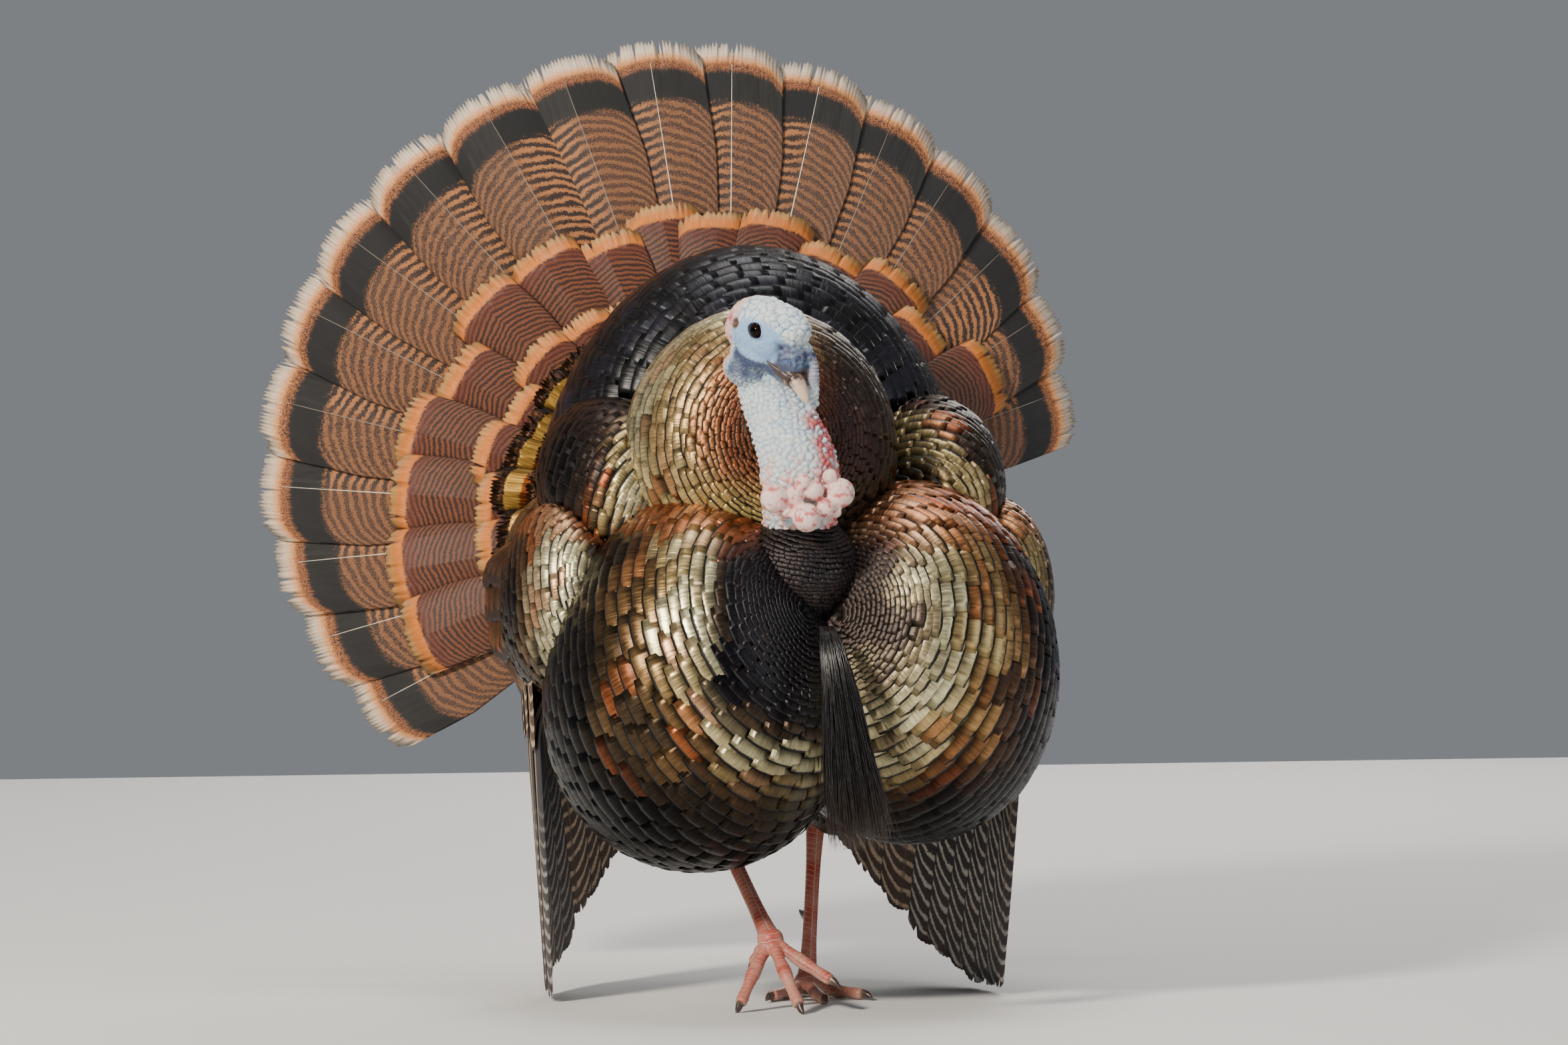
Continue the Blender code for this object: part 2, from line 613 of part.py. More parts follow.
def build_leg(side, leg, toes):
    hip, ankle, joint = leg
    bones = (hip, hip.lerp(ankle, 0.5), ankle)
    thigh_stations = [(*point, *half) for point, half in zip(bones, THIGH_HALF_SIZES)]
    run = (joint - ankle).normalized()
    shank_stations = (
        (*(ankle + run * SHANK_START), SHANK_HALF_WIDTH * 1.25, SHANK_HALF_DEPTH * 1.2),
        (*ankle.lerp(joint, 0.22), SHANK_HALF_WIDTH, SHANK_HALF_DEPTH),
        (*ankle.lerp(joint, 0.75), SHANK_HALF_WIDTH, SHANK_HALF_DEPTH),
        (*(joint - run * SHANK_END), SHANK_HALF_WIDTH * 1.25, SHANK_HALF_DEPTH),
    )
    shank_name, thigh_name, foot_name = f"leg_{side}_shank", f"leg_{side}_thigh", f"leg_{side}_foot"
    shank = place(shank_name, limb(shank_stations, SHANK_SIDES, steps=1), SCUTES)
    keep_clear(shank_name, limb(shank_stations, SHANK_SIDES, steps=1, grow=GAP))
    spur_root = ankle.lerp(joint, SPUR_SHARE)
    inward = Vector((0.25 if side == "right" else -0.25, 1.0, 0.10)).normalized()
    spur_stations = (
        (*spur_root, 0.0045, 0.0045),
        (*(spur_root + inward * SPUR_LENGTH * 0.65), 0.0030, 0.0030),
        (*(spur_root + inward * SPUR_LENGTH + Vector((0, 0, 0.003))), 0.0008, 0.0008),
    )
    carve(place(f"leg_{side}_spur", limb(spur_stations, SMALL_SIDES, steps=1), HORN), shank_name)
    thigh = place(thigh_name, limb(thigh_stations, ROUND_SIDES, steps=1), BLACK)
    carve(thigh, shank_name, "trunk", "breast_right", "breast_left")
    pad = place(f"leg_{side}_pad", ball(joint, PAD_RADIUS), SCUTES)
    toe_pieces = []
    for name, (middle, last) in toes.items():
        toe_pieces.append(place(f"leg_{side}_toe_{name}", toe(joint, middle, last), SCUTES))
        tip = place(f"leg_{side}_claw_{name}", claw(middle, last), HORN)
        floor_cut(tip)
    foot = joined(pad, *toe_pieces)
    foot.name = foot_name
    floor_cut(foot)
    carve(foot, shank_name)


build_floor_slab()
build_body()
build_head()
build_neck()
build_beard()
build_tail()
build_wings()
build_leg("left", LEFT_LEG, LEFT_TOES)
build_leg("right", RIGHT_LEG, RIGHT_TOES)


# ---------------------------------------------------------------- the origin
def visible_corners():
    """Every corner of the finished pieces, after their modifiers."""
    graph = bpy.context.evaluated_depsgraph_get()
    for made in bpy.context.scene.objects:
        if not made.hide_render:
            mesh = made.evaluated_get(graph).to_mesh()
            yield from (vert.co.copy() for vert in mesh.vertices)


def bring_origin_under_middle():
    """Moves every mesh so that the origin is on the floor, under the middle of the whole bird's box."""
    corners = list(visible_corners())
    low = [min(corner[axis] for corner in corners) for axis in range(3)]
    high = [max(corner[axis] for corner in corners) for axis in range(3)]
    shift = Matrix.Translation((-(low[0] + high[0]) / 2, -(low[1] + high[1]) / 2, -low[2]))
    for made in bpy.context.scene.objects:
        made.data.transform(shift)


bring_origin_under_middle()
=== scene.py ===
import math
from collections import namedtuple

import bmesh
import bpy
import numpy as np
from mathutils import Matrix, Vector, kdtree, noise
from mathutils.bvhtree import BVHTree


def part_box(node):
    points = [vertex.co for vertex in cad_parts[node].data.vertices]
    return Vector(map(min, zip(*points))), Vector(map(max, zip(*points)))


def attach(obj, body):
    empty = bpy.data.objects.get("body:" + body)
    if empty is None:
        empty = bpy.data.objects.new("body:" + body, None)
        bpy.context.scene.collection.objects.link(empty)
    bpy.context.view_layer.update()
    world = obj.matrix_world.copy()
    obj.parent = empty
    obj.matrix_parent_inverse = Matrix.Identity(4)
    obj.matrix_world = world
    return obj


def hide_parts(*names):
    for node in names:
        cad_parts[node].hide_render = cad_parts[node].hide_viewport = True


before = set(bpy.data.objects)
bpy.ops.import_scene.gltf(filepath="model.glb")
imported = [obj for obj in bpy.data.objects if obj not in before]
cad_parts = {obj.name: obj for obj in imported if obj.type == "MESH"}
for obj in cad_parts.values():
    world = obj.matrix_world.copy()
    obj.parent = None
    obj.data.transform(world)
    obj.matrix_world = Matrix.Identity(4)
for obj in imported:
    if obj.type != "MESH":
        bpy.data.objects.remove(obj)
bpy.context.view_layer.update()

# ---------------------------------------------------------------- skin
# The flesh is one closed skin, melted together from rounded forms. In the trunk, breast, back and wings it
# lies deeper by the depth of the plumage, and the bare head and legs are at full size. All is laid out round
# the bird's own middle plane, then set over the frame's trunk.
TRUNK_CENTRE = Vector((0.0, 0.040, 0.304))
trunk_low, trunk_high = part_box("trunk")
HOME = (trunk_low + trunk_high) / 2 - TRUNK_CENTRE
HOME.z = 0.0

# Each mass: centre, half sizes, how much it narrows upwards, how far its rear is raised in degrees.
MASSES = {
    "trunk": ((0.0, 0.040, 0.304), (0.168, 0.192, 0.138), 0.0, 8.0),
    "breast_right": ((-0.085, -0.088, 0.270), (0.127, 0.148, 0.158), 0.13, 0.0),
    "breast_left": ((0.096, -0.080, 0.284), (0.124, 0.146, 0.152), 0.06, 0.0),
    "back": ((0.0, 0.094, 0.418), (0.184, 0.112, 0.210), 0.08, -6.0),
    "ruff": ((-0.025, -0.056, 0.460), (0.114, 0.106, 0.120), 0.0, -8.0),
    "nape": ((-0.018, 0.018, 0.452), (0.112, 0.096, 0.114), 0.0, 0.0),
    "flank_left": ((0.126, 0.118, 0.322), (0.060, 0.086, 0.086), 0.0, 10.0),
    "flank_right": ((-0.126, 0.118, 0.322), (0.060, 0.086, 0.086), 0.0, 10.0),
    "throat": ((-0.012, -0.148, 0.368), (0.048, 0.050, 0.047), 0.0, 0.0),
    "shoulder_left": ((0.138, 0.022, 0.428), (0.060, 0.108, 0.074), 0.0, 10.0),
    "shoulder_right": ((-0.138, 0.022, 0.428), (0.060, 0.108, 0.074), 0.0, 10.0),
    "wrist_left": ((0.186, -0.004, 0.334), (0.048, 0.090, 0.084), 0.0, -12.0),
    "wrist_right": ((-0.186, -0.004, 0.334), (0.048, 0.090, 0.084), 0.0, -12.0),
    "forearm_left": ((0.166, 0.080, 0.326), (0.053, 0.122, 0.094), 0.0, 16.0),
    "forearm_right": ((-0.166, 0.080, 0.326), (0.053, 0.122, 0.094), 0.0, 16.0),
}
TAIL_ROOT = ((-0.005, 0.206, 0.390), (0.036, 0.030, 0.036), 0.0, 0.0)
COAT_DEPTH = 0.013

# The head has a frame of its own, turned to the bird's left with the bill pointing down.
HEAD_CENTRE = (-0.041, -0.165, 0.5594)
HEAD_TURN = math.radians(37.0)
HEAD_NOD = math.radians(18.0)
HEAD_SEAT = Matrix.Translation(HEAD_CENTRE) @ Matrix.Rotation(HEAD_TURN, 4, "Z")
HEAD_SEAT = HEAD_SEAT @ Matrix.Rotation(HEAD_NOD, 4, "X")
HEAD_RINGS = (  # y, z, half width, half height, from the back of the skull to the root of the bill
    (0.0400, 0.0010, 0.0070, 0.0090),
    (0.0335, 0.0005, 0.0170, 0.0190),
    (0.0180, 0.0008, 0.0230, 0.0262),
    (0.0000, 0.0018, 0.0238, 0.0282),
    (-0.0160, 0.0060, 0.0216, 0.0238),
    (-0.0275, 0.0062, 0.0158, 0.0180),
    (-0.0340, 0.0035, 0.0092, 0.0112),
)
FACE_MASSES = (  # in the head's frame: the muzzle over the bill's root, the jaws, the throat and the brows
    ((0.0, -0.0275, -0.0118), (0.0130, 0.0150, 0.0156), 0.0, 12.0),
    ((0.0, -0.0150, -0.0215), (0.0125, 0.0190, 0.0085), 0.0, 24.0),
    ((0.0, 0.0060, -0.0200), (0.0212, 0.0250, 0.0200), 0.0, 0.0),
    ((0.0, 0.0100, -0.0340), (0.0225, 0.0240, 0.0160), 0.0, 0.0),
    ((0.0115, -0.0110, 0.0165), (0.0105, 0.0150, 0.0080), 0.0, 20.0),
    ((-0.0115, -0.0110, 0.0165), (0.0105, 0.0150, 0.0080), 0.0, 20.0),
)
NECK_STATIONS = (  # x, y, z, half width across and half width the other way
    (-0.0370, -0.1480, 0.5480, 0.0190, 0.0190),
    (-0.0365, -0.1480, 0.5200, 0.0270, 0.0255),
    (-0.0310, -0.1600, 0.4930, 0.0270, 0.0260),
    (-0.0215, -0.1720, 0.4650, 0.0310, 0.0280),
    (-0.0155, -0.1720, 0.4350, 0.0320, 0.0280),
    (-0.0130, -0.1500, 0.4050, 0.0300, 0.0270),
    (-0.0130, -0.1000, 0.3850, 0.0240, 0.0220),
)
SNOOD_STATIONS = (  # the same, in the head's frame
    (0.0050, -0.0290, 0.0030, 0.0070, 0.0062),
    (0.0100, -0.0365, -0.0060, 0.0070, 0.0062),
    (0.0140, -0.0410, -0.0160, 0.0063, 0.0056),
    (0.0165, -0.0440, -0.0275, 0.0056, 0.0052),
    (0.0172, -0.0475, -0.0400, 0.0048, 0.0045),
    (0.0172, -0.0505, -0.0525, 0.0022, 0.0022),
)
WATTLE_BULBS = (  # centre and radius
    ((-0.0450, -0.2060, 0.4265), 0.0122),
    ((-0.0205, -0.2160, 0.4110), 0.0120),
    ((0.0095, -0.2050, 0.4305), 0.0124),
    ((-0.0290, -0.2080, 0.4280), 0.0085),
    ((-0.0130, -0.2090, 0.4330), 0.0085),
    ((-0.0030, -0.2090, 0.4190), 0.0080),
    ((0.0060, -0.2060, 0.4150), 0.0050),
    ((-0.0350, -0.2090, 0.4155), 0.0050),
    ((-0.0220, -0.2110, 0.4400), 0.0070),
    ((0.0010, -0.2070, 0.4440), 0.0065),
)
EYE_PLACE = Vector((0.0200, -0.0040, 0.0050))
EYE_RADIUS = 0.0068

# Each leg has a hip end, an ankle and a foot joint, and each toe a middle joint and an end.
LEGS = {
    "left": ((0.076, 0.010, 0.232), (0.046, 0.056, 0.150), (0.028, 0.008, 0.0115)),
    "right": ((-0.086, 0.035, 0.235), (-0.048, 0.022, 0.148), (-0.025, -0.094, 0.057)),
}
TOES = {
    "left": {
        "middle": ((0.0270, -0.034, 0.0062), (0.0250, -0.072, 0.0052)),
        "inner": ((0.0060, -0.016, 0.0062), (-0.0110, -0.038, 0.0052)),
        "outer": ((0.0490, -0.014, 0.0062), (0.0640, -0.036, 0.0052)),
        "hind": ((0.0250, 0.024, 0.0062), (0.0220, 0.036, 0.0052)),
    },
    "right": {
        "middle": ((-0.020, -0.126, 0.0330), (-0.0140, -0.152, 0.0090)),
        "inner": ((-0.003, -0.115, 0.0400), (0.0150, -0.137, 0.0270)),
        "outer": ((-0.043, -0.113, 0.0310), (-0.0570, -0.130, 0.0090)),
        "hind": ((-0.029, -0.076, 0.0460), (-0.0320, -0.064, 0.0370)),
    },
}
THIGH_HALF_SIZES = ((0.040, 0.046), (0.029, 0.033), (0.010, 0.011))
SHANK = ((0.10, 0.0078, 0.0094), (0.35, 0.0061, 0.0079), (0.75, 0.0062, 0.0079))  # share down, half widths
SHANK_OVERLAP = 0.006
KNUCKLE_HALF_SIZES = (0.0112, 0.0122, 0.0100)
TOE_OVERLAP = 0.003
FLESH_GRAIN, FLESH_SMOOTHING = 0.0075, 6
HEAD_GRAIN, HEAD_SMOOTHING = 0.00125, 4
LEG_GRAIN, LEG_SMOOTHING = 0.0013, 3


def rounded_mass(shape, mass, inset, segments=40, rings=24):
    centre, half, narrowing, rise = mass
    seat = Matrix.Translation(centre) @ Matrix.Rotation(math.radians(rise), 4, "X")
    size = Matrix.Diagonal([side - inset for side in half] + [1.0])
    made = bmesh.ops.create_uvsphere(shape, u_segments=segments, v_segments=rings, radius=1.0)["verts"]
    for vert in made:
        vert.co.x *= 1.0 - narrowing * vert.co.z
    bmesh.ops.transform(shape, matrix=seat @ size, verts=made)
    return made


def smooth_route(stations, steps):
    """Catmull-Rom values between the stations, which are rows of equal length."""
    rows = np.array([stations[0], *stations, stations[-1]], float)
    route = []
    for index in range(len(stations) - 1):
        a, b, c, d = rows[index : index + 4]
        for t in np.arange(steps) / steps:
            bend = (2 * a - 5 * b + 4 * c - d) * t * t + (3 * b - a - 3 * c + d) * t**3
            route.append(0.5 * (2 * b + (c - a) * t + bend))
    return np.array([*route, rows[-1]])


def limb(shape, stations, sides, steps=4, across=Vector((1, 0, 0)), seat=Matrix()):
    """A closed tube through stations of x, y, z, half width across and half width the other way."""
    route = smooth_route(stations, steps)
    loops = []
    made = []
    for index, (x, y, z, wide, deep) in enumerate(route):
        ahead = Vector(route[min(index + 1, len(route) - 1)][:3])
        run = (ahead - Vector(route[max(index - 1, 0)][:3])).normalized()
        other = run.cross(across).normalized()
        turn = Matrix((other.cross(run).normalized(), other, run)).transposed().to_4x4()
        ring_seat = seat @ Matrix.Translation((x, y, z)) @ turn @ Matrix.Diagonal((wide, deep, 1.0, 1.0))
        ring = bmesh.ops.create_circle(shape, segments=sides, radius=1.0, matrix=ring_seat)["verts"]
        made += ring
        loops.append(list(dict.fromkeys(edge for vert in ring for edge in vert.link_edges)))
    for first, second in zip(loops, loops[1:]):
        bmesh.ops.bridge_loops(shape, edges=first + second)
    bmesh.ops.contextual_create(shape, geom=loops[0])
    bmesh.ops.contextual_create(shape, geom=loops[-1])
    return made


def toe_side(middle, last):
    run = Vector(last) - Vector(middle)
    return Vector((-run.y, run.x, 0.0)).normalized()


def as_piece(name, shape):
    bmesh.ops.recalc_face_normals(shape, faces=shape.faces)
    mesh = bpy.data.meshes.new(name)
    shape.to_mesh(mesh)
    shape.free()
    made = bpy.data.objects.new(name, mesh)
    bpy.context.scene.collection.objects.link(made)
    return made


def settled(made):
    """The piece with its modifiers turned into mesh."""
    graph = bpy.context.evaluated_depsgraph_get()
    mesh = bpy.data.meshes.new_from_object(made.evaluated_get(graph))
    made.modifiers.clear()
    made.data = mesh
    return made


def moulded(made, grain, smoothing):
    """The overlapping forms melted into one closed surface of the given grain."""
    melt = made.modifiers.new("melt", "REMESH")
    melt.mode = "VOXEL"
    melt.voxel_size = grain
    ease = made.modifiers.new("ease", "SMOOTH")
    ease.factor = 0.5
    ease.iterations = smoothing
    return settled(made)


flesh = bmesh.new()
for mass in MASSES.values():
    rounded_mass(flesh, mass, COAT_DEPTH)
rounded_mass(flesh, TAIL_ROOT, 0.0)
for hip, ankle, joint in LEGS.values():
    bones = (Vector(hip), Vector(hip).lerp(Vector(ankle), 0.5), Vector(ankle))
    limb(flesh, [(*point, *half) for point, half in zip(bones, THIGH_HALF_SIZES)], 20)
skin = moulded(as_piece("skin", flesh), FLESH_GRAIN, FLESH_SMOOTHING)

bare = bmesh.new()
limb(bare, [(0.0, y, z, wide, tall) for y, z, wide, tall in HEAD_RINGS], 28, seat=HEAD_SEAT)
for mass in FACE_MASSES:
    bmesh.ops.transform(bare, matrix=HEAD_SEAT, verts=rounded_mass(bare, mass, 0.0, 24, 14))
limb(bare, NECK_STATIONS, 32)
limb(bare, SNOOD_STATIONS, 16, across=Vector((0.3, 1.0, 0.0)), seat=HEAD_SEAT)
for centre, radius in WATTLE_BULBS:
    rounded_mass(bare, (centre, (radius, radius, radius), 0.0, 0.0), 0.0, 20, 12)
bare_head = moulded(as_piece("bare_head", bare), HEAD_GRAIN, HEAD_SMOOTHING)

bare = bmesh.new()
for side, (hip, ankle, joint) in LEGS.items():
    hip, ankle, joint = Vector(hip), Vector(ankle), Vector(joint)
    run = (joint - ankle).normalized()
    shank = [(*ankle.lerp(joint, down), wide, deep) for down, wide, deep in SHANK]
    shank.insert(0, (*(ankle - run * SHANK_OVERLAP), 0.0098, 0.0115))
    shank.append((*(joint - run * SHANK_OVERLAP), 0.0085, 0.0085))
    limb(bare, shank, 20)
    rounded_mass(bare, (joint, KNUCKLE_HALF_SIZES, 0.0, 0.0), 0.0, 20, 12)
    for middle, last in TOES[side].values():
        middle, last = Vector(middle), Vector(last)
        tip = last + (last - middle).normalized() * TOE_OVERLAP
        toe = (
            (*joint, 0.0070, 0.0062),
            (*joint.lerp(middle, 0.55), 0.0050, 0.0049),
            (*middle, 0.0062, 0.0058),
            (*middle.lerp(last, 0.5), 0.0047, 0.0046),
            (*last, 0.0053, 0.0050),
            (*tip, 0.0036, 0.0034),
        )
        limb(bare, toe, 14, across=toe_side(middle, last))
bare_legs = moulded(as_piece("bare_legs", bare), LEG_GRAIN, LEG_SMOOTHING)

for part in (bare_head, bare_legs):
    weld = skin.modifiers.new("weld", "BOOLEAN")
    weld.operation = "UNION"
    weld.object = part
settled(skin)
for part in (bare_head, bare_legs):
    bpy.data.objects.remove(part)

# The skin round each eye is divided finely enough for its lids. Where the weld left an edge with more than
# two faces, only the two largest stay.
HEAD_INVERSE = HEAD_SEAT.inverted()
LID_DIVISIONS = 2
LID_DEPTH, LID_REACH = 0.012, 0.0095
dense = bmesh.new()
dense.from_mesh(skin.data)
for _ in range(LID_DIVISIONS):
    near_eye = {}
    for vert in dense.verts:
        local = HEAD_INVERSE @ vert.co
        away = Vector((abs(local.x), local.y, local.z)) - EYE_PLACE
        if abs(away.x) < LID_DEPTH and math.hypot(away.y, away.z) < LID_REACH:
            near_eye.update(dict.fromkeys(vert.link_edges))
    bmesh.ops.subdivide_edges(dense, edges=list(near_eye), cuts=1, use_grid_fill=True)
bmesh.ops.triangulate(dense, faces=[face for face in dense.faces if len(face.verts) > 4])
flaps = {}
for edge in dense.edges:
    if len(edge.link_faces) > 2:
        flaps.update(dict.fromkeys(sorted(edge.link_faces, key=lambda face: face.calc_area())[:-2]))
bmesh.ops.delete(dense, geom=list(flaps), context="FACES")
bmesh.ops.recalc_face_normals(dense, faces=dense.faces)
dense.to_mesh(skin.data)
dense.free()


def smooth_step(low, high, values):
    share = np.clip((np.asarray(values, float) - low) / (high - low), 0.0, 1.0)
    return share * share * (3.0 - 2.0 * share)


def corners_of(made):
    flat = np.empty(len(made.data.vertices) * 3)
    made.data.vertices.foreach_get("co", flat)
    return flat.reshape(-1, 3)


def normals_of(made):
    flat = np.empty(len(made.data.vertices) * 3, np.float32)
    made.data.vertex_normals.foreach_get("vector", flat)
    return flat.reshape(-1, 3).astype(float)


def turned(points, matrix):
    grid = np.array(matrix)
    return points @ grid[:3, :3].T + grid[:3, 3]


def linear(red, green, blue):
    """A colour given in everyday 0 to 255 values, as the shader wants it."""
    shares = np.array((red, green, blue)) / 255.0
    return np.where(shares <= 0.04045, shares / 12.92, ((shares + 0.055) / 1.055) ** 2.4)


def pebble_centres(points, spacing, draw):
    """Points thinned by lot until they lie about their own spacing apart."""
    cell = 0.006  # about the widest spacing
    kept, cells = [], {}
    for index in draw.permutation(len(points)):
        x, y, z = points[index]
        reach = spacing[index] ** 2
        home = (int(x // cell), int(y // cell), int(z // cell))
        near = (
            other
            for i in (-1, 0, 1)
            for j in (-1, 0, 1)
            for k in (-1, 0, 1)
            for other in cells.get((home[0] + i, home[1] + j, home[2] + k), ())
        )
        if all((x - a) ** 2 + (y - b) ** 2 + (z - c) ** 2 > reach for a, b, c in near):
            cells.setdefault(home, []).append((x, y, z))
            kept.append((x, y, z))
    return kept


def pebble_gaps(points, centres):
    """For each point, how far it lies from the crevice between pebbles, and the number of its pebble."""
    tree = kdtree.KDTree(len(centres))
    for index, centre in enumerate(centres):
        tree.insert(centre, index)
    tree.balance()
    gaps = np.empty(len(points))
    owners = np.empty(len(points), int)
    for index, point in enumerate(points):
        (_, owner, first), (_, _, second) = tree.find_n(point, 2)
        gaps[index] = second - first
        owners[index] = owner
    return gaps, owners


def waver(points, size, seed):
    """Smooth noise between -1 and 1 at each point."""
    shift = Vector((seed * 7.3, seed * 3.1, seed * 5.7))
    return np.array([noise.noise(Vector(point) / size + shift) for point in points])


# Each corner of the skin learns which part of the bird it is on, as shares from 0 to 1: wattle, face, crown,
# nape, cheek, front of the face and snood.
HEAD_FOOT = (0.512, 0.532)
LEG_TOP, LEG_SPREAD = 0.172, 0.075
draw = np.random.default_rng(7)
points = corners_of(skin)
outward = normals_of(skin)
local = turned(points, HEAD_INVERSE)
x, y, z = points.T
face_x, face_y, face_z = np.abs(local[:, 0]), local[:, 1], local[:, 2]
neck_route = smooth_route(NECK_STATIONS, 8)
neck_steps = points[:, None, :] - neck_route[None, :, :3]
neck_away = (np.linalg.norm(neck_steps, axis=2) - neck_route[None, :, 3]).min(axis=1)
centre_line = np.interp(z, neck_route[::-1, 2], neck_route[::-1, 0])
wattle = np.max(
    [
        smooth_step(1.22, 1.02, np.linalg.norm(points - np.array(centre), axis=1) / radius)
        for centre, radius in WATTLE_BULBS
    ],
    axis=0,
)
bare = ((neck_away < 0.0045) & (z > 0.40)) | (wattle > 0.0)
bare |= (np.linalg.norm(local, axis=1) < 0.075) & (z > 0.49) & (y < -0.125)
feet = (z < LEG_TOP) & (np.abs(x) < LEG_SPREAD)

on_head = smooth_step(*HEAD_FOOT, z) * bare
eye_away = np.hypot(face_y - EYE_PLACE.y, face_z - EYE_PLACE.z)
face = 1.0 - smooth_step(0.85, 1.10, np.hypot((face_y + 0.006) / 0.027, (face_z + 0.0035) / 0.0175))
face *= on_head * smooth_step(0.006, 0.011, face_x)
brow_line = 0.012 - 0.55 * np.clip(-0.004 - face_y, 0.0, 0.05)
crown = on_head * smooth_step(-0.002, 0.003, face_z - brow_line) * (1.0 - face)
nape = on_head * smooth_step(0.016, 0.026, face_y) * (1.0 - face)
cheek = on_head * smooth_step(-0.012, -0.017, face_z) * smooth_step(0.022, 0.010, face_y)
cheek *= smooth_step(0.006, 0.011, face_x) * (1.0 - face)
front = on_head * smooth_step(-0.019, -0.027, face_y) * smooth_step(0.006, -0.003, face_z)
snood_route = smooth_route(SNOOD_STATIONS, 6)[:, :3]
snood_away = np.min([np.linalg.norm(local - place, axis=1) for place in snood_route], axis=0)
snood = smooth_step(0.0105, 0.0085, snood_away) * smooth_step(0.0035, 0.0060, local[:, 0] - 0.004)
snood *= on_head * smooth_step(-0.004, -0.010, face_z)

# The bare skin is pebbled, and each pebble's place is drawn by lot. The tallest are on the neck, the widest
# on the crown, and the smallest on the nape, the cheeks and the front of the face.
PEBBLE_SPACING, PEBBLE_HEIGHT = 0.0040, 0.0021
spacing = PEBBLE_SPACING + 0.0012 * smooth_step(0.53, 0.46, z)
spacing += -0.0016 * cheek - 0.0014 * nape + 0.0024 * crown - 0.0010 * front
bent = points + 0.0026 * np.column_stack([waver(points, 0.009, seed) for seed in (1, 2, 3)])
bent[:, 2] += 0.25 * (points[:, 2] - 0.5)
in_place_order = np.lexsort(points.T)  # the weld leaves the corners in no fixed order
on_bare = in_place_order[bare[in_place_order]]
centres = pebble_centres(bent[on_bare], spacing[on_bare], draw)
gaps = np.full(len(points), 0.01)
owners = np.zeros(len(points), int)
gaps[on_bare], owners[on_bare] = pebble_gaps(bent[on_bare], centres)
size_of_pebble = draw.uniform(0.55, 1.15, len(centres))[owners]
dome = np.clip(gaps / (spacing * 0.9), 0.0, 1.0) ** 0.6 * size_of_pebble
height = PEBBLE_HEIGHT + 0.0008 * smooth_step(0.515, 0.490, z) - 0.0004 * crown
height = height - 0.0010 * nape - 0.0009 * cheek - 0.0011 * front
height = height * (1.0 - 0.88 * face) * (1.0 - 0.88 * wattle) * (1.0 - snood)
rise = np.where(bare, height * (dome - 0.45), 0.0)

# The snood is ringed. Each eye's oval opening has a lid as a ridge, with the skin inside it sunk behind the
# eyeball and a fold outside it, and behind the eye is the shallow pit of the ear.
SNOOD_PITCH, SNOOD_RELIEF = 0.0022, 0.00075
EYE_TILT = math.radians(24.0)
OPENING_HALF_LENGTH, OPENING_HALF_HEIGHT = 0.0068, 0.0057
LID_HEIGHT, FOLD_DEPTH, SOCKET_DEPTH = 0.0013, 0.0004, 0.0052
EAR_Y, EAR_Z, EAR_HALF_LENGTH, EAR_HALF_HEIGHT, EAR_DEPTH = 0.0195, 0.0035, 0.0042, 0.0046, 0.0022
SIDE_OF_HEAD = 0.010
snood_turns = (local[:, 1] * -0.35 - local[:, 2]) / SNOOD_PITCH * 2.0 * math.pi
rise += snood * SNOOD_RELIEF * np.sin(snood_turns)
eye_run = (face_y - EYE_PLACE.y) * math.cos(EYE_TILT) + (face_z - EYE_PLACE.z) * math.sin(EYE_TILT)
eye_up = (face_z - EYE_PLACE.z) * math.cos(EYE_TILT) - (face_y - EYE_PLACE.y) * math.sin(EYE_TILT)
opening_height = OPENING_HALF_HEIGHT - 0.12 * np.abs(eye_run)
lid = np.hypot(eye_run / OPENING_HALF_LENGTH, (eye_up + 8.0 * eye_run**2) / opening_height)
near_eye = (on_head > 0.5) & (eye_away < 0.011) & (face_x > 0.008)
ridge = np.exp(-(((lid - 1.14) / 0.15) ** 2)) * LID_HEIGHT
fold = np.exp(-(((lid - 1.75) / 0.10) ** 2)) * FOLD_DEPTH
socket = smooth_step(1.06, 0.82, lid) * SOCKET_DEPTH
rise += np.where(near_eye, ridge - fold - socket, 0.0)
ear = np.hypot((face_y - EAR_Y) / EAR_HALF_LENGTH, (face_z - EAR_Z) / EAR_HALF_HEIGHT)
beside = (on_head > 0.5) & (face_x > SIDE_OF_HEAD)
rise -= np.where(beside, smooth_step(1.0, 0.5, ear) * EAR_DEPTH, 0.0)
points = points + outward * rise[:, None]

# The head is white and blue over slate, its nape and lower neck pink and red, and the crevices between the
# pebbles are the deepest.
WHITE = linear(228, 234, 232)
FACE_BLUE = linear(138, 178, 226)
PALE_BLUE = linear(186, 216, 236)
DEEP_BLUE = linear(74, 118, 168)
SLATE = linear(58, 56, 86)
PINK = linear(240, 178, 166)
RED = linear(206, 52, 50)
EAR_BROWN = linear(96, 66, 44)


def over(ground, colour, share):
    share = np.clip(share, 0.0, 1.0)[:, None]
    return ground * (1.0 - share) + colour * share


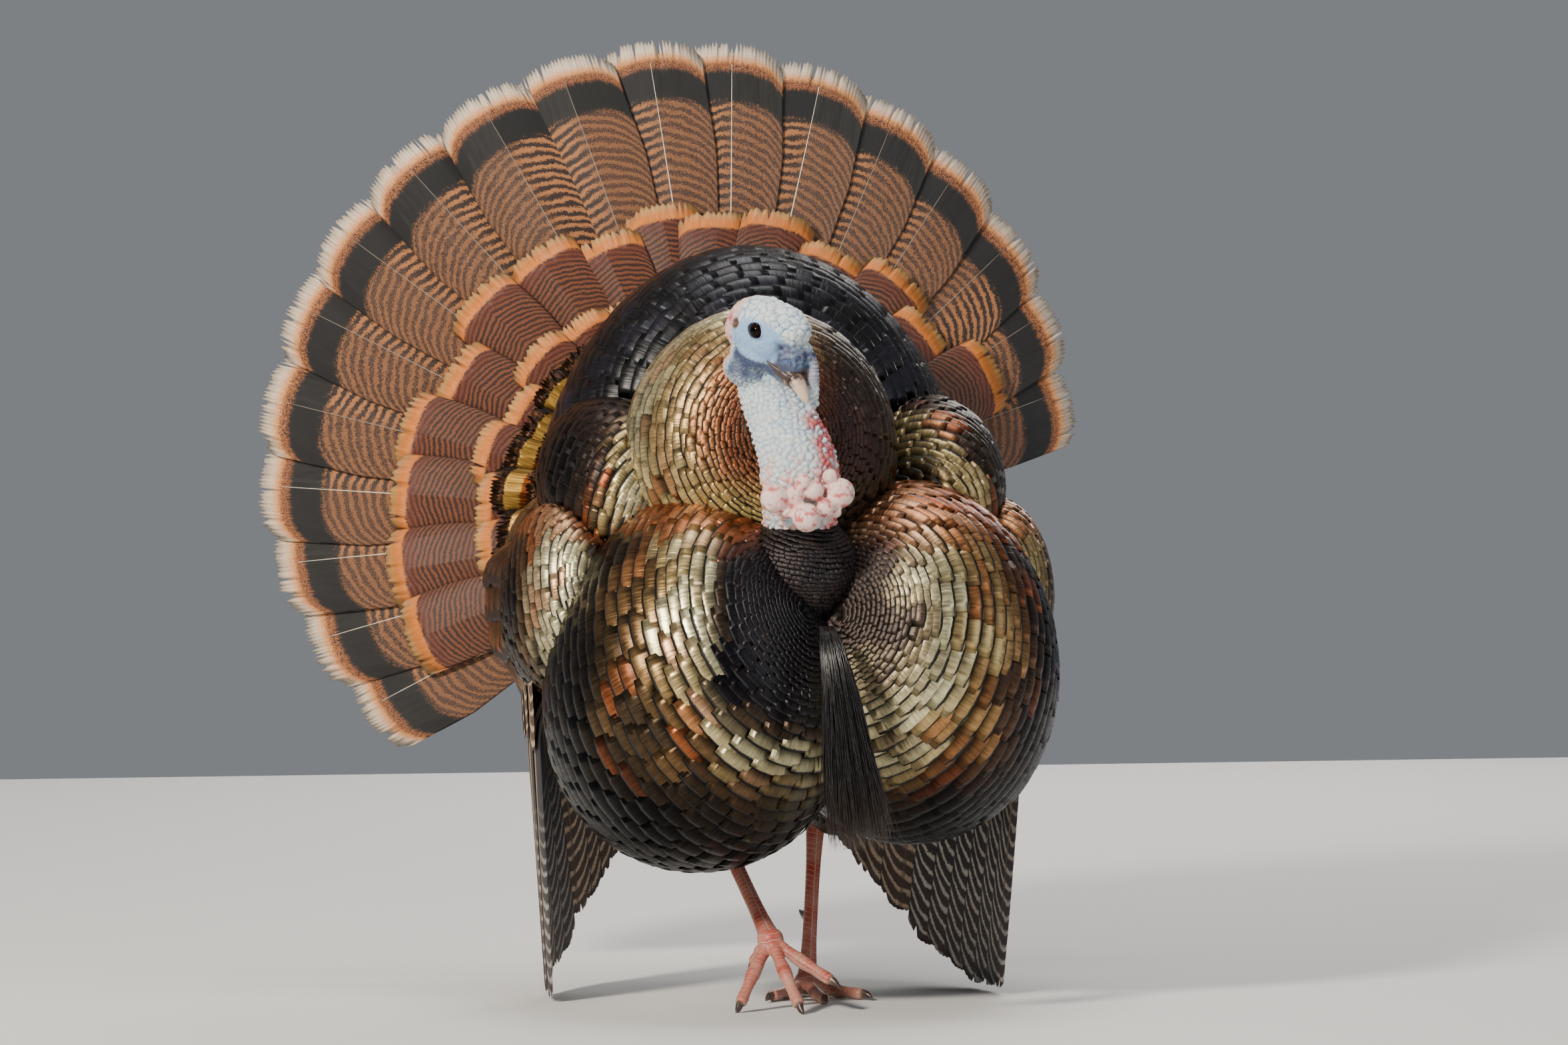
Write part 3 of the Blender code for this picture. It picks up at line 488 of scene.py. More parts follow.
blotch = waver(points, 0.009, 4)
speck = waver(points, 0.0035, 5)
tint = np.tile(WHITE, (len(points), 1))
tint = over(tint, PALE_BLUE, 0.30 + 0.5 * blotch)
tint = over(tint, PALE_BLUE, 0.55 * on_head * (1.0 - crown) * (1.0 - nape))
tint = over(tint, PINK, nape * (0.75 + 0.5 * speck))
tint = over(tint, RED, nape * smooth_step(0.10, 0.5, blotch + speck * 0.6) * 0.75)
tint = over(tint, FACE_BLUE, face * (0.85 + 0.25 * speck))
tint = over(tint, SLATE, cheek * (1.0 + 0.7 * blotch))
tint = over(tint, SLATE, front * (0.92 + 0.5 * speck))
tint = over(tint, linear(104, 84, 76), front * smooth_step(-0.012, -0.019, face_z) * 0.85)
crevice = smooth_step(0.0011, 0.0003, gaps) * bare * (1.0 - 0.9 * wattle)
crevice = crevice * (1.0 - snood) * (1.0 - 0.85 * face)
tint = over(tint, DEEP_BLUE, crevice * (0.62 + 0.30 * on_head + 0.35 * blotch) * (1.0 - 0.7 * nape))
tint = over(tint, linear(40, 38, 62), crevice * cheek * 0.7)
left_neck = smooth_step(0.006, 0.020, x - centre_line) * smooth_step(0.505, 0.485, z)
red_neck = left_neck * smooth_step(-0.25, 0.10, draw.uniform(-1, 1, len(centres))[owners] * 0.5 + 0.1)
lower = smooth_step(0.472, 0.440, z) * smooth_step(0.35, 0.75, draw.uniform(0, 1, len(centres))[owners])
tint = over(tint, RED, red_neck * bare * (1.0 - wattle) * 0.9)
tint = over(tint, PINK, lower * bare * (1.0 - wattle) * 0.8)
tint = over(tint, linear(246, 214, 206), wattle)
veins = smooth_step(0.12, 0.42, waver(points, 0.0050, 8) + 0.35 * waver(points, 0.0018, 9))
between = smooth_step(0.0016, 0.0002, gaps) * smooth_step(-0.2, 0.4, waver(points, 0.010, 13))
tint = over(tint, linear(208, 62, 66), wattle * np.maximum(veins * 0.85, between * 0.5))
tint = over(tint, linear(206, 208, 222), snood)
tint = over(tint, linear(120, 122, 158), snood * smooth_step(0.2, -0.6, np.sin(snood_turns)) * 0.8)
tint = over(tint, linear(214, 96, 100), snood * smooth_step(-0.038, -0.048, face_z) * 0.9)
tint = over(tint, EAR_BROWN, smooth_step(1.25, 0.8, ear) * beside)
lid_edge = np.exp(-(((lid - 1.05) / 0.10) ** 2)) * near_eye
tint = over(tint, linear(52, 60, 84), lid_edge * 0.9)
FEATHERED_DARK = linear(44, 34, 26)
tint[~(bare | feet)] = FEATHERED_DARK

# The shanks and toes carry overlapping scutes. Each corner of the skin there knows how far down the bone it
# is, in scutes, and how far round, and the finish draws the plates from that.
SCUTE_PITCH = 0.0046
scute_place = np.zeros((len(points), 3))
nearest = np.full(len(points), 1.0)
for side, (_, ankle, joint) in LEGS.items():
    bones = [(ankle, joint, 0.0, Vector((0, -1, 0)))]
    for middle, last in TOES[side].values():
        bones.append((joint, middle, 1.0, Vector((0, 0, 1))))
        tip = Vector(last) + (Vector(last) - Vector(middle)).normalized() * 0.004
        bones.append((middle, tip, 1.0, Vector((0, 0, 1))))
    for start, end, kind, face_way in bones:
        start, end = Vector(start), Vector(end)
        run = (end - start).normalized()
        front_way = (face_way - run * face_way.dot(run)).normalized()
        side_way = run.cross(front_way)
        offset = points - np.array(start)
        down = np.clip(offset @ np.array(run), 0.0, (end - start).length)
        away = offset - down[:, None] * np.array(run)
        reach = np.linalg.norm(away, axis=1)
        round_it = np.arctan2(away @ np.array(side_way), away @ np.array(front_way)) / math.pi
        mine = feet & (reach < nearest)
        nearest[mine] = reach[mine]
        bone_place = np.column_stack([round_it, down / SCUTE_PITCH, np.full(len(points), kind)])
        scute_place[mine] = bone_place[mine]
LEG_RED = linear(178, 70, 58)
LEG_PALE = linear(196, 150, 130)
sole = feet & (outward[:, 2] < -0.45) & (z < 0.06)
leg_tint = np.tile(LEG_RED, (len(points), 1))
leg_tint = over(leg_tint, LEG_PALE, 0.35 + 0.5 * waver(points, 0.012, 11))
leg_tint = over(leg_tint, LEG_PALE, sole * 0.9)
leg_tint = over(leg_tint, LEG_PALE, smooth_step(0.035, 0.015, z) * 0.35)
tint[feet] = leg_tint[feet]
pads = sole * np.abs(waver(points, 0.0016, 12)) * 0.0008
points += outward * pads[:, None]


def give_colours(made, name, colours):
    layer = made.data.color_attributes.new(name, "FLOAT_COLOR", "POINT")
    layer.data.foreach_set("color", np.column_stack([colours, np.ones(len(colours))]).ravel())


def give_numbers(made, name, kind, values):
    layer = made.data.attributes.new(name, kind, "POINT")
    field = "vector" if kind == "FLOAT_VECTOR" else "value"
    layer.data.foreach_set(field, np.asarray(values, float).ravel())


points[:, 2] = np.maximum(points[:, 2], 0.0)
points += np.array(HOME)
skin.data.vertices.foreach_set("co", points.ravel())
skin.data.update()
skin.data.shade_smooth()
give_colours(skin, "Tint", np.clip(tint, 0.0, 1.0))
give_numbers(skin, "Scute", "FLOAT_VECTOR", scute_place)
give_numbers(skin, "Leg", "FLOAT", feet.astype(float))


def finish(name, roughness, metallic=0.0):
    """A new finish, with its node tree and the shader in it."""
    made = bpy.data.materials.new(name)
    made.use_nodes = True
    shader = made.node_tree.nodes["Principled BSDF"]
    shader.inputs["Roughness"].default_value = roughness
    shader.inputs["Metallic"].default_value = metallic
    return made, made.node_tree, shader


def node(tree, kind, inputs=(), **settings):
    """A node of this kind; inputs are pairs of a socket and what feeds it, a link or a value."""
    made = tree.nodes.new("ShaderNode" + kind)
    for key, value in settings.items():
        setattr(made, key, value)
    for socket, value in dict(inputs).items():
        if isinstance(value, bpy.types.NodeSocket):
            tree.links.new(value, made.inputs[socket])
        else:
            made.inputs[socket].default_value = value
    return made


def sums(tree, operation, first, second=0.0, third=None, clamp=False):
    inputs = {0: first, 1: second}
    if third is not None:
        inputs[2] = third
    return node(tree, "Math", inputs, operation=operation, use_clamp=clamp).outputs[0]


def blend(tree, share, ground, colour, way="MIX"):
    made = node(tree, "Mix", {0: share, 6: ground, 7: colour}, data_type="RGBA", blend_type=way)
    return made.outputs[2]


def ramp(tree, value, low, high, first=0.0, second=1.0):
    inputs = {"Value": value, "From Min": low, "From Max": high, "To Min": first, "To Max": second}
    return node(tree, "MapRange", inputs, interpolation_type="SMOOTHSTEP").outputs[0]


def bumped(tree, shader, height, distance, strength=1.0):
    raised = node(tree, "Bump", {"Height": height, "Distance": distance, "Strength": strength})
    tree.links.new(raised.outputs["Normal"], shader.inputs["Normal"])


def rgba(colour):
    return (*colour, 1.0)


def shade(red, green, blue):
    """A colour given in everyday 0 to 255 values, as a socket takes it."""
    return rgba(linear(red, green, blue))


def told(tree, name, output="Fac"):
    """What the piece's corners tell the finish under this name."""
    return node(tree, "Attribute", attribute_name=name).outputs[output]


def mottled(tree, place, scale, detail=2.0):
    return node(tree, "TexNoise", {"Vector": place, "Scale": scale, "Detail": detail}).outputs[0]


def cells_apart(tree, place, scale):
    """How far a point lies from the border between small random cells."""
    cells = node(tree, "TexVoronoi", {"Vector": place, "Scale": scale}, feature="DISTANCE_TO_EDGE")
    return cells.outputs["Distance"]


def aside(tree, value, middle):
    return sums(tree, "ABSOLUTE", sums(tree, "SUBTRACT", value, middle))


def painted(tree, shader, colour):
    tree.links.new(colour, shader.inputs["Base Color"])


# Bare skin lets a little light in. On the legs, pale lines border the scutes in front and at the sides, small
# grains cover the rear, and both stand in relief.
skin_finish, tree, shader = finish("bare skin", 0.42)
shader.inputs["Subsurface Weight"].default_value = 0.12
shader.inputs["Subsurface Scale"].default_value = 0.002
place = node(tree, "TexCoord").outputs["Object"]
tinted = told(tree, "Tint", "Color")
mottle = mottled(tree, place, 700.0, 3.0)
crease = ramp(tree, cells_apart(tree, place, 1300.0), 0.0, 0.16)
round_it, down, on_toe = node(tree, "SeparateXYZ", {0: told(tree, "Scute", "Vector")}).outputs
leg = told(tree, "Leg")
side_of = sums(tree, "ABSOLUTE", round_it)
on_shank = sums(tree, "SUBTRACT", 1.0, on_toe)
halved = sums(tree, "MULTIPLY", sums(tree, "GREATER_THAN", round_it, 0.0), on_shank)
slant = sums(tree, "MULTIPLY", side_of, sums(tree, "MULTIPLY_ADD", on_toe, -1.1, 1.5))
run_down = sums(tree, "ADD", sums(tree, "MULTIPLY_ADD", halved, 0.5, down), slant)
within = sums(tree, "FRACT", run_down)
edge_low = ramp(tree, within, 0.0, 0.14, 1.0, 0.0)
edge_high = ramp(tree, within, 0.90, 1.0)
middle_line = sums(tree, "MULTIPLY", ramp(tree, side_of, 0.0, 0.035, 1.0, 0.0), on_shank)
side_line = ramp(tree, aside(tree, side_of, 0.56), 0.0, 0.04, 1.0, 0.0)
borders = sums(tree, "MAXIMUM", sums(tree, "MAXIMUM", edge_low, edge_high), middle_line)
borders = sums(tree, "MAXIMUM", borders, side_line)
grain_edge = ramp(tree, cells_apart(tree, place, 420.0), 0.02, 0.14, 1.0, 0.0)
behind = ramp(tree, side_of, 0.58, 0.62)
plates = node(tree, "Mix", {0: behind, 2: borders, 3: grain_edge}, data_type="FLOAT").outputs[0]
plates = sums(tree, "MULTIPLY", plates, leg)
colour = blend(tree, sums(tree, "MULTIPLY", plates, 0.62), tinted, shade(226, 196, 180))
shaded = ramp(tree, mottle, 0.30, 0.70, 0.86, 1.10)
colour = blend(tree, 1.0, colour, shaded, "MULTIPLY")
painted(tree, shader, colour)
raise_up = sums(tree, "MULTIPLY", sums(tree, "SUBTRACT", 1.0, plates), leg)
fine = sums(tree, "MULTIPLY", crease, sums(tree, "MULTIPLY_ADD", leg, -0.12, 0.15))
bumped(tree, shader, sums(tree, "ADD", sums(tree, "MULTIPLY", raise_up, 0.9), fine), 0.0005)
skin.data.materials.clear()
skin.data.materials.append(skin_finish)
for face in skin.data.polygons:
    face.material_index = 0
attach(skin, "root")
FLESH_NODES = ["trunk", "breast_left", "breast_right", "back", "ruff", "neck", "head", "wattles", "snood"]
for side in ("left", "right"):
    FLESH_NODES += [f"wing_{side}_{part}" for part in ("shoulder", "wrist", "forearm")]
    FLESH_NODES += [f"leg_{side}_{part}" for part in ("thigh", "shank", "foot")]
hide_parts(*FLESH_NODES)

# ---------------------------------------------------------------- eyes
# The eyes are wet and dark, each a ball set in its socket behind the lids. The finish lays a black pupil in a
# deep brown iris, by how far a point of the ball lies ahead of its middle.
EYE_BROWN = linear(66, 34, 22)
PUPIL_BLACK = (0.0012, 0.0010, 0.0010, 1.0)
PUPIL_EDGE = (EYE_RADIUS * 0.905, EYE_RADIUS * 0.925)
IRIS_EDGE = (EYE_RADIUS * 0.62, EYE_RADIUS * 0.70)
for side, sign in (("left", 1.0), ("right", -1.0)):
    eye_place = HOME + HEAD_SEAT @ Vector((EYE_PLACE.x * sign, EYE_PLACE.y, EYE_PLACE.z))
    eye_shape = bmesh.new()
    rounded_mass(eye_shape, (eye_place, (EYE_RADIUS, EYE_RADIUS, EYE_RADIUS), 0.0, 0.0), 0.0, 48, 32)
    eye = as_piece("eyeball_" + side, eye_shape)
    eye.data.shade_smooth()
    eye_finish, tree, shader = finish("eye " + side, 0.07)
    place = node(tree, "TexCoord").outputs["Object"]
    look_way = (HEAD_SEAT.to_3x3() @ Vector((sign, -0.12, 0.05))).normalized()
    from_eye = node(tree, "VectorMath", {0: place, 1: eye_place}, operation="SUBTRACT").outputs[0]
    ahead = node(tree, "VectorMath", {0: from_eye, 1: look_way}, operation="DOT_PRODUCT").outputs["Value"]
    streaks = mottled(tree, place, 900.0)
    iris = blend(tree, streaks, rgba(EYE_BROWN * 0.10), rgba(EYE_BROWN * 0.26))
    iris = blend(tree, ramp(tree, ahead, *IRIS_EDGE, 1.0, 0.0), iris, rgba(EYE_BROWN * 0.08))
    painted(tree, shader, blend(tree, ramp(tree, ahead, *PUPIL_EDGE), iris, PUPIL_BLACK))
    shader.inputs["Specular IOR Level"].default_value = 0.10
    eye.data.materials.append(eye_finish)
    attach(eye, "root")
    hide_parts("eye_" + side)

# ---------------------------------------------------------------- bill
# The bill is two closed halves of horn rooted in the face, dark at the base and pale at the tip. The upper
# one is ridged, curves down past the lower one, has a slit nostril on each side, and carries the mouth's
# edges.
BILL_RINGS, BILL_SIDES = 22, 24
NOSTRIL_Y, NOSTRIL_Z = -0.0305, -0.0165
NOSTRIL_HALF_LENGTH, NOSTRIL_HALF_HEIGHT, NOSTRIL_DEPTH = 0.0032, 0.0011, 0.0009
BILL_HALVES = {  # root and tip as y and z, half width, half height above and below the middle, bend
    "upper": ((-0.0150, -0.0140), (-0.0570, -0.0400), 0.0098, 0.0080, 0.0036, 1.60),
    "lower": ((-0.0120, -0.0160), (-0.0535, -0.0388), 0.0086, 0.0020, 0.0046, 1.45),
}


def bill_half(half):
    root, tip, wide, above, below, bend = half
    shape = bmesh.new()
    loops = []
    for share in np.linspace(0.0, 1.0, BILL_RINGS):
        narrow = max(0.05, (1.0 - share**2.6) ** 0.60)
        ahead = root[0] + (tip[0] - root[0]) * share
        drop = root[1] + (tip[1] - root[1]) * share**bend
        seat = HEAD_SEAT @ Matrix.Translation((0.0, ahead, drop)) @ Matrix.Rotation(0.5 * math.pi, 4, "X")
        ring = bmesh.ops.create_circle(shape, segments=BILL_SIDES, radius=1.0)["verts"]
        for vert in ring:
            side = vert.co.x
            up = vert.co.y
            vert.co.x = side * wide * narrow
            tall = above if up > 0 else below
            peak = abs(up) ** (1.35 if up > 0 and half is BILL_HALVES["upper"] else 0.9)
            vert.co.y = math.copysign(peak, up) * tall * (0.35 + 0.65 * narrow)
        bmesh.ops.transform(shape, matrix=Matrix.Translation(HOME) @ seat, verts=ring)
        loops.append(list(dict.fromkeys(edge for vert in ring for edge in vert.link_edges)))
    for first, second in zip(loops, loops[1:]):
        bmesh.ops.bridge_loops(shape, edges=first + second)
    bmesh.ops.contextual_create(shape, geom=loops[0])
    bmesh.ops.contextual_create(shape, geom=loops[-1])
    return shape


def mouth_edges():
    """The bill's cutting edge runs back along each cheek as a narrow horn band lying on the skin."""
    cheeks = bmesh.new()
    cheeks.from_mesh(skin.data)
    surface = BVHTree.FromBMesh(cheeks)
    seat = Matrix.Translation(HOME) @ HEAD_SEAT
    bands = bmesh.new()
    for sign in (-1.0, 1.0):
        stations = []
        for share in np.linspace(0.0, 1.0, 12):
            ahead = -0.0145 - 0.0235 * share
            drop = -0.0180 - 0.0092 * share
            start = seat @ Vector((sign * 0.05, ahead, drop))
            hit, _, _, _ = surface.ray_cast(start, seat.to_3x3() @ Vector((-sign, 0.0, 0.0)))
            out = abs((seat.inverted() @ hit).x) if hit else 0.0
            out = min(out, stations[-1][0] * sign + 0.0006 if stations else out)
            out = max(out, 0.0108 - 0.0040 * share)
            stations.append((sign * out, ahead, drop, 0.0006 + 0.0050 * share, 0.0011 + 0.0012 * share))
        limb(bands, stations, 12, steps=3, across=Vector((0.0, 0.0, 1.0)), seat=HEAD_SEAT)
    cheeks.free()
    bmesh.ops.translate(bands, vec=HOME, verts=bands.verts)
    return bands


horn, tree, shader = finish("bill horn", 0.30)
place = node(tree, "TexCoord").outputs["Object"]
bill_root = HOME + HEAD_SEAT @ Vector((0.0, -0.0290, -0.0180))
bill_run = (HEAD_SEAT.to_3x3() @ Vector((0.0, -0.0220, -0.0185))).normalized()
from_root = node(tree, "VectorMath", {0: place, 1: bill_root}, operation="SUBTRACT").outputs[0]
ahead = node(tree, "VectorMath", {0: from_root, 1: bill_run}, operation="DOT_PRODUCT").outputs["Value"]
wisps = mottled(tree, place, 260.0, 4.0)
ahead = sums(tree, "ADD", ahead, ramp(tree, wisps, 0.3, 0.7, -0.0030, 0.0030))
colour = blend(tree, ramp(tree, ahead, 0.0105, 0.0200), shade(62, 48, 46), shade(220, 192, 166))
growth = node(tree, "TexWave", {"Vector": place, "Scale": 330.0, "Distortion": 4.0, "Detail": 2.0})
lines = growth.outputs["Fac"]
colour = blend(tree, sums(tree, "MULTIPLY", lines, 0.14), colour, shade(120, 96, 84))
painted(tree, shader, colour)
bumped(tree, shader, lines, 0.00015, 0.5)
for name, half in BILL_HALVES.items():
    shape = bill_half(half)
    if name == "upper":
        bands = mouth_edges()
        joined = bpy.data.meshes.new("mouth edges")
        bands.to_mesh(joined)
        bands.free()
        shape.from_mesh(joined)
    bill = as_piece("bill_horn_" + name, shape)
    if name == "upper":
        to_local = (Matrix.Translation(HOME) @ HEAD_SEAT).inverted()
        for vert in bill.data.vertices:
            spot = to_local @ vert.co
            up = spot.z - NOSTRIL_Z
            along = spot.y - NOSTRIL_Y - 0.4 * up
            slit = math.hypot(along / NOSTRIL_HALF_LENGTH, up / NOSTRIL_HALF_HEIGHT)
            if slit < 1.0:
                vert.co -= vert.normal * NOSTRIL_DEPTH * (1.0 - slit)
    bill.data.shade_smooth()
    bill.data.materials.append(horn)
    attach(bill, "root")
    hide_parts("bill_" + name)

# ---------------------------------------------------------------- body feathers
# Bronze contour feathers lie like tiles over the skin. Each is a thin crowned vane with a blunt tip, rooted
# close to the skin and covered for about two thirds of its length by others. Over every mass of the body they
# run in rings, away from one point of it, and those buried in a neighbouring mass are left out.
VANE_ACROSS = 4
VANE_ALONG = 6
VANE_STATIONS = (0.0, 0.32, 0.58, 0.74, 0.86, 0.95, 1.0)  # closer together where the tip rolls over
VANE_ROOT, VANE_TIP = -0.0115, -0.0010  # heights over the surface that the feathers' tips make up
VANE_CROWN, VANE_LEAN, VANE_TWIST, VANE_SWING = 0.016, 0.034, 0.012, 0.014
VANE_THICKNESS, TIP_ROLL = 0.00030, 0.0012
RAISED_SHARE, RAISED_BY = 0.06, 0.0007  # how many vanes stand a little proud of the rest
RING_SPACING = 0.68  # of a vane's width
STEPPED_SHARE = 0.07  # how many vanes stand out of their ring
STEP, WEAVE = 0.30, 0.22  # how far they and the ring itself stray, as shares of the ring's exposure
LAST_RING = 177.5  # closes the far pole
BAKE_PATCH = 0.003


def vane_form(across, along):
    """Corners (-1 to 1 across, 0 to 1 along, upper or lower side) and faces of one lens-shaped vane."""
    corners, faces, upper, lower = [], [], {}, {}
    for side, numbers in ((1.0, upper), (-1.0, lower)):
        for row, column in np.ndindex(along + 1, across + 1):
            if side < 0 and (row in (0, along) or column in (0, across)):
                numbers[row, column] = upper[row, column]
            else:
                numbers[row, column] = len(corners)
                corners.append((2.0 * column / across - 1.0, row / along, side))
    for row, column in np.ndindex(along, across):
        steps = ((row, column), (row, column + 1), (row + 1, column + 1), (row + 1, column))
        faces.append([upper[step] for step in steps])
        faces.append([lower[step] for step in reversed(steps)])
    return np.array(corners), np.array(faces)


VANE_CORNERS, VANE_FACES = vane_form(VANE_ACROSS, VANE_ALONG)
VANE_CORNERS[:, 1] = np.interp(VANE_CORNERS[:, 1], np.linspace(0.0, 1.0, VANE_ALONG + 1), VANE_STATIONS)
coat_draw = np.random.default_rng(21)
Feathers = namedtuple("Feathers", "tips outs ways sizes places angles")


def joined_vanes(name, corners, faces, uvs, bake):
    """One mesh of many like vanes: corners are feathers by corners by 3, and so are both of its maps."""
    count, size, _ = corners.shape
    all_faces = (faces[None] + (np.arange(count) * size)[:, None, None]).reshape(-1, faces.shape[1])
    mesh = bpy.data.meshes.new(name)
    mesh.vertices.add(count * size)
    mesh.vertices.foreach_set("co", (corners + np.array(HOME)).ravel())
    mesh.loops.add(all_faces.size)
    mesh.loops.foreach_set("vertex_index", all_faces.ravel())
    mesh.polygons.add(len(all_faces))
    mesh.polygons.foreach_set("loop_start", np.arange(len(all_faces)) * faces.shape[1])
    mesh.update(calc_edges=True)
    for label, values in (("Vane", uvs), ("OFBake", bake)):
        layer = mesh.uv_layers.new(name=label)
        layer.data.foreach_set("uv", values.reshape(-1, 2)[all_faces.ravel()].ravel())
    mesh.uv_layers["OFBake"].active_render = False
    mesh.uv_layers["Vane"].active_render = True
    mesh.shade_smooth()
    made = bpy.data.objects.new(name, mesh)
    bpy.context.scene.collection.objects.link(made)
    return made


def unit(vectors):
    return vectors / np.maximum(np.linalg.norm(vectors, axis=-1, keepdims=True), 1e-12)


def mass_frame(mass):
    centre, half, narrowing, rise = mass
    turn = np.array(Matrix.Rotation(math.radians(rise), 3, "X"))
    return np.array(centre), np.array(half), narrowing, turn


def in_mass(mass, points):
    """Where points lie in a mass, as a vector of length 1 at its surface."""
    centre, half, narrowing, turn = mass_frame(mass)
    local = (points - centre) @ turn / half
    local[..., 0] /= 1.0 - narrowing * np.clip(local[..., 2], -1.0, 1.0)
    return local


def on_mass(mass, units):
    """Points and outward directions on a mass's surface, from unit vectors."""
    centre, half, narrowing, turn = mass_frame(mass)
    squeeze = 1.0 - narrowing * units[..., 2]
    local = units * half
    local[..., 0] *= squeeze
    slopes = units / half
    slopes[..., 0] /= squeeze
    slopes[..., 2] += narrowing * units[..., 0] ** 2 / (squeeze * half[2])
    return centre + local @ turn.T, unit(slopes @ turn.T)


def rings_of_feathers(mass_name, pole, reach, size_at, clear=0.90, loose=0.12):
    """Feathers in rings round a pole of one mass, leaving out those buried in its neighbours.

    size_at gives their spacing, width and length at an angle from the pole.
    """
    mass = MASSES[mass_name]
    radius = mass_frame(mass)[1].mean()
    pole = unit(np.array(pole, float))
    first = unit(np.cross(pole, (0.3, 0.2, 1.0)))
    second = np.cross(pole, first)
    angle = math.radians(reach[0])
    units, sizes, rings = [], [], []
    while angle < math.radians(min(reach[1], 178.0)):
        exposure, width, length = size_at(math.degrees(angle))
        count = max(3, round(2.0 * math.pi * math.sin(angle) * radius / (width * RING_SPACING)))
        places = np.arange(count) + coat_draw.uniform() + coat_draw.uniform(-0.07, 0.07, count)
        turns = places / count * 2.0 * math.pi
        steps = coat_draw.uniform(0, 1, count) < STEPPED_SHARE
        stepped = np.where(steps, coat_draw.uniform(-STEP, STEP, count), 0.0)
        weave = WEAVE * np.sin(turns * 3.0 + angle * 9.0) + coat_draw.uniform(-loose, loose, count)
        tilt = angle + (stepped + weave) * exposure / radius
        ring = np.cos(turns)[:, None] * first + np.sin(turns)[:, None] * second
        units.append(np.cos(tilt)[:, None] * pole + np.sin(tilt)[:, None] * ring)
        rings.append(np.column_stack([turns, tilt]))
        sizes.append(np.tile((width, length), (count, 1)))
        if angle < math.radians(176.0) < angle + exposure / radius and reach[1] > 176.0:
            angle = math.radians(LAST_RING)
        else:
            angle += exposure / radius
    units, sizes, rings = np.vstack(units), np.vstack(sizes), np.vstack(rings)
    tips, outs = on_mass(mass, units)
    buried = np.zeros(len(tips), bool)
    for other, neighbour in MASSES.items():
        if other != mass_name:
            buried |= np.linalg.norm(in_mass(neighbour, tips), axis=1) < clear
    onward, _ = on_mass(mass, unit(units + 0.02 * unit(units * (units @ pole)[:, None] - pole)))
    ways = unit(onward - tips)
    flat = rings[:, 1] / math.pi
    places = 0.5 + 0.48 * flat[:, None] * np.column_stack([np.cos(rings[:, 0]), np.sin(rings[:, 0])])
    angles = np.degrees(rings[:, 1])
    return Feathers(*(values[~buried] for values in (tips, outs, ways, sizes, places, angles)))


def laid_vanes(mass_name, feathers, blunt=0.035, lift=0.0):
    """Corners of vanes that lie along a mass from under its coat out to their tips."""
    tips, outs, ways, sizes, _, _ = feathers
    count = len(tips)
    swing = coat_draw.normal(0.0, VANE_SWING, count)
    sides = unit(np.cross(ways, outs))
    ways = unit(ways + sides * swing[:, None])
    sides = unit(np.cross(ways, outs))
    width = (sizes[:, 0] * coat_draw.uniform(0.96, 1.10, count) * 0.5)[:, None]
    length = (sizes[:, 1] * coat_draw.uniform(0.97, 1.03, count))[:, None]
    across, along, face = VANE_CORNERS.T[:, None]
    ragged = coat_draw.normal(0.0, 0.005, (count, 1)) * across
    run = along * (1.0 - blunt * np.abs(across) ** 5 * along**4 + ragged * along**3)
    half = width * (0.45 + 0.55 * np.minimum(1.0, along / 0.45) ** 0.8)
    where = tips[:, None] + ways[:, None] * (length * (run - 1.0))[..., None]
    where = where + sides[:, None] * (half * across)[..., None]
    mass = MASSES[mass_name]
    surface, normals = on_mass(mass, unit(in_mass(mass, where)))
    stand = coat_draw.uniform(0.0, 0.0004, (count, 1)) + VANE_TIP
    stand = stand + np.where(coat_draw.uniform(0, 1, (count, 1)) < RAISED_SHARE, RAISED_BY, 0.0)
    small = np.minimum(1.0, width / 0.011)
    risen = 0.72 * smooth_step(0.0, 0.62, along) + 0.28 * smooth_step(0.45, 0.93, along)
    height = VANE_ROOT + (stand - VANE_ROOT) * risen
    height = height - (VANE_CROWN * across**2 - VANE_LEAN * across) * half
    height = height + coat_draw.normal(0.0, VANE_TWIST, (count, 1)) * half * across
    height = height + lift * along**3 + VANE_THICKNESS * face * (1.0 - across**2)
    height = height - TIP_ROLL * small * smooth_step(0.90, 1.0, along)
    return surface + normals * height[..., None]


def along_palette(share, stops):
    """Colours at shares 0 to 1 along a row of colour stops."""
    stops = np.array(stops)
    place = np.clip(share, 0.0, 1.0) * (len(stops) - 1)
    low = np.minimum(place.astype(int), len(stops) - 2)
    part = (place - low)[:, None]
    return stops[low] * (1.0 - part) + stops[low + 1] * part


COPPER = linear(168, 88, 46)
BRONZE = linear(112, 86, 54)
GOLD = linear(178, 154, 104)
PALE_GOLD = linear(214, 206, 164)
OLIVE = linear(74, 64, 44)
UMBER = linear(66, 48, 36)
DARK = linear(34, 27, 25)
BLACK = linear(14, 13, 16)


def along_angles(angles, stops):
    """Colours by degrees from a tract's pole; stops are pairs of an angle and a colour in rising order."""
    places = [stop[0] for stop in stops]
    return np.column_stack([np.interp(angles, places, [stop[1][k] for stop in stops]) for k in range(3)])


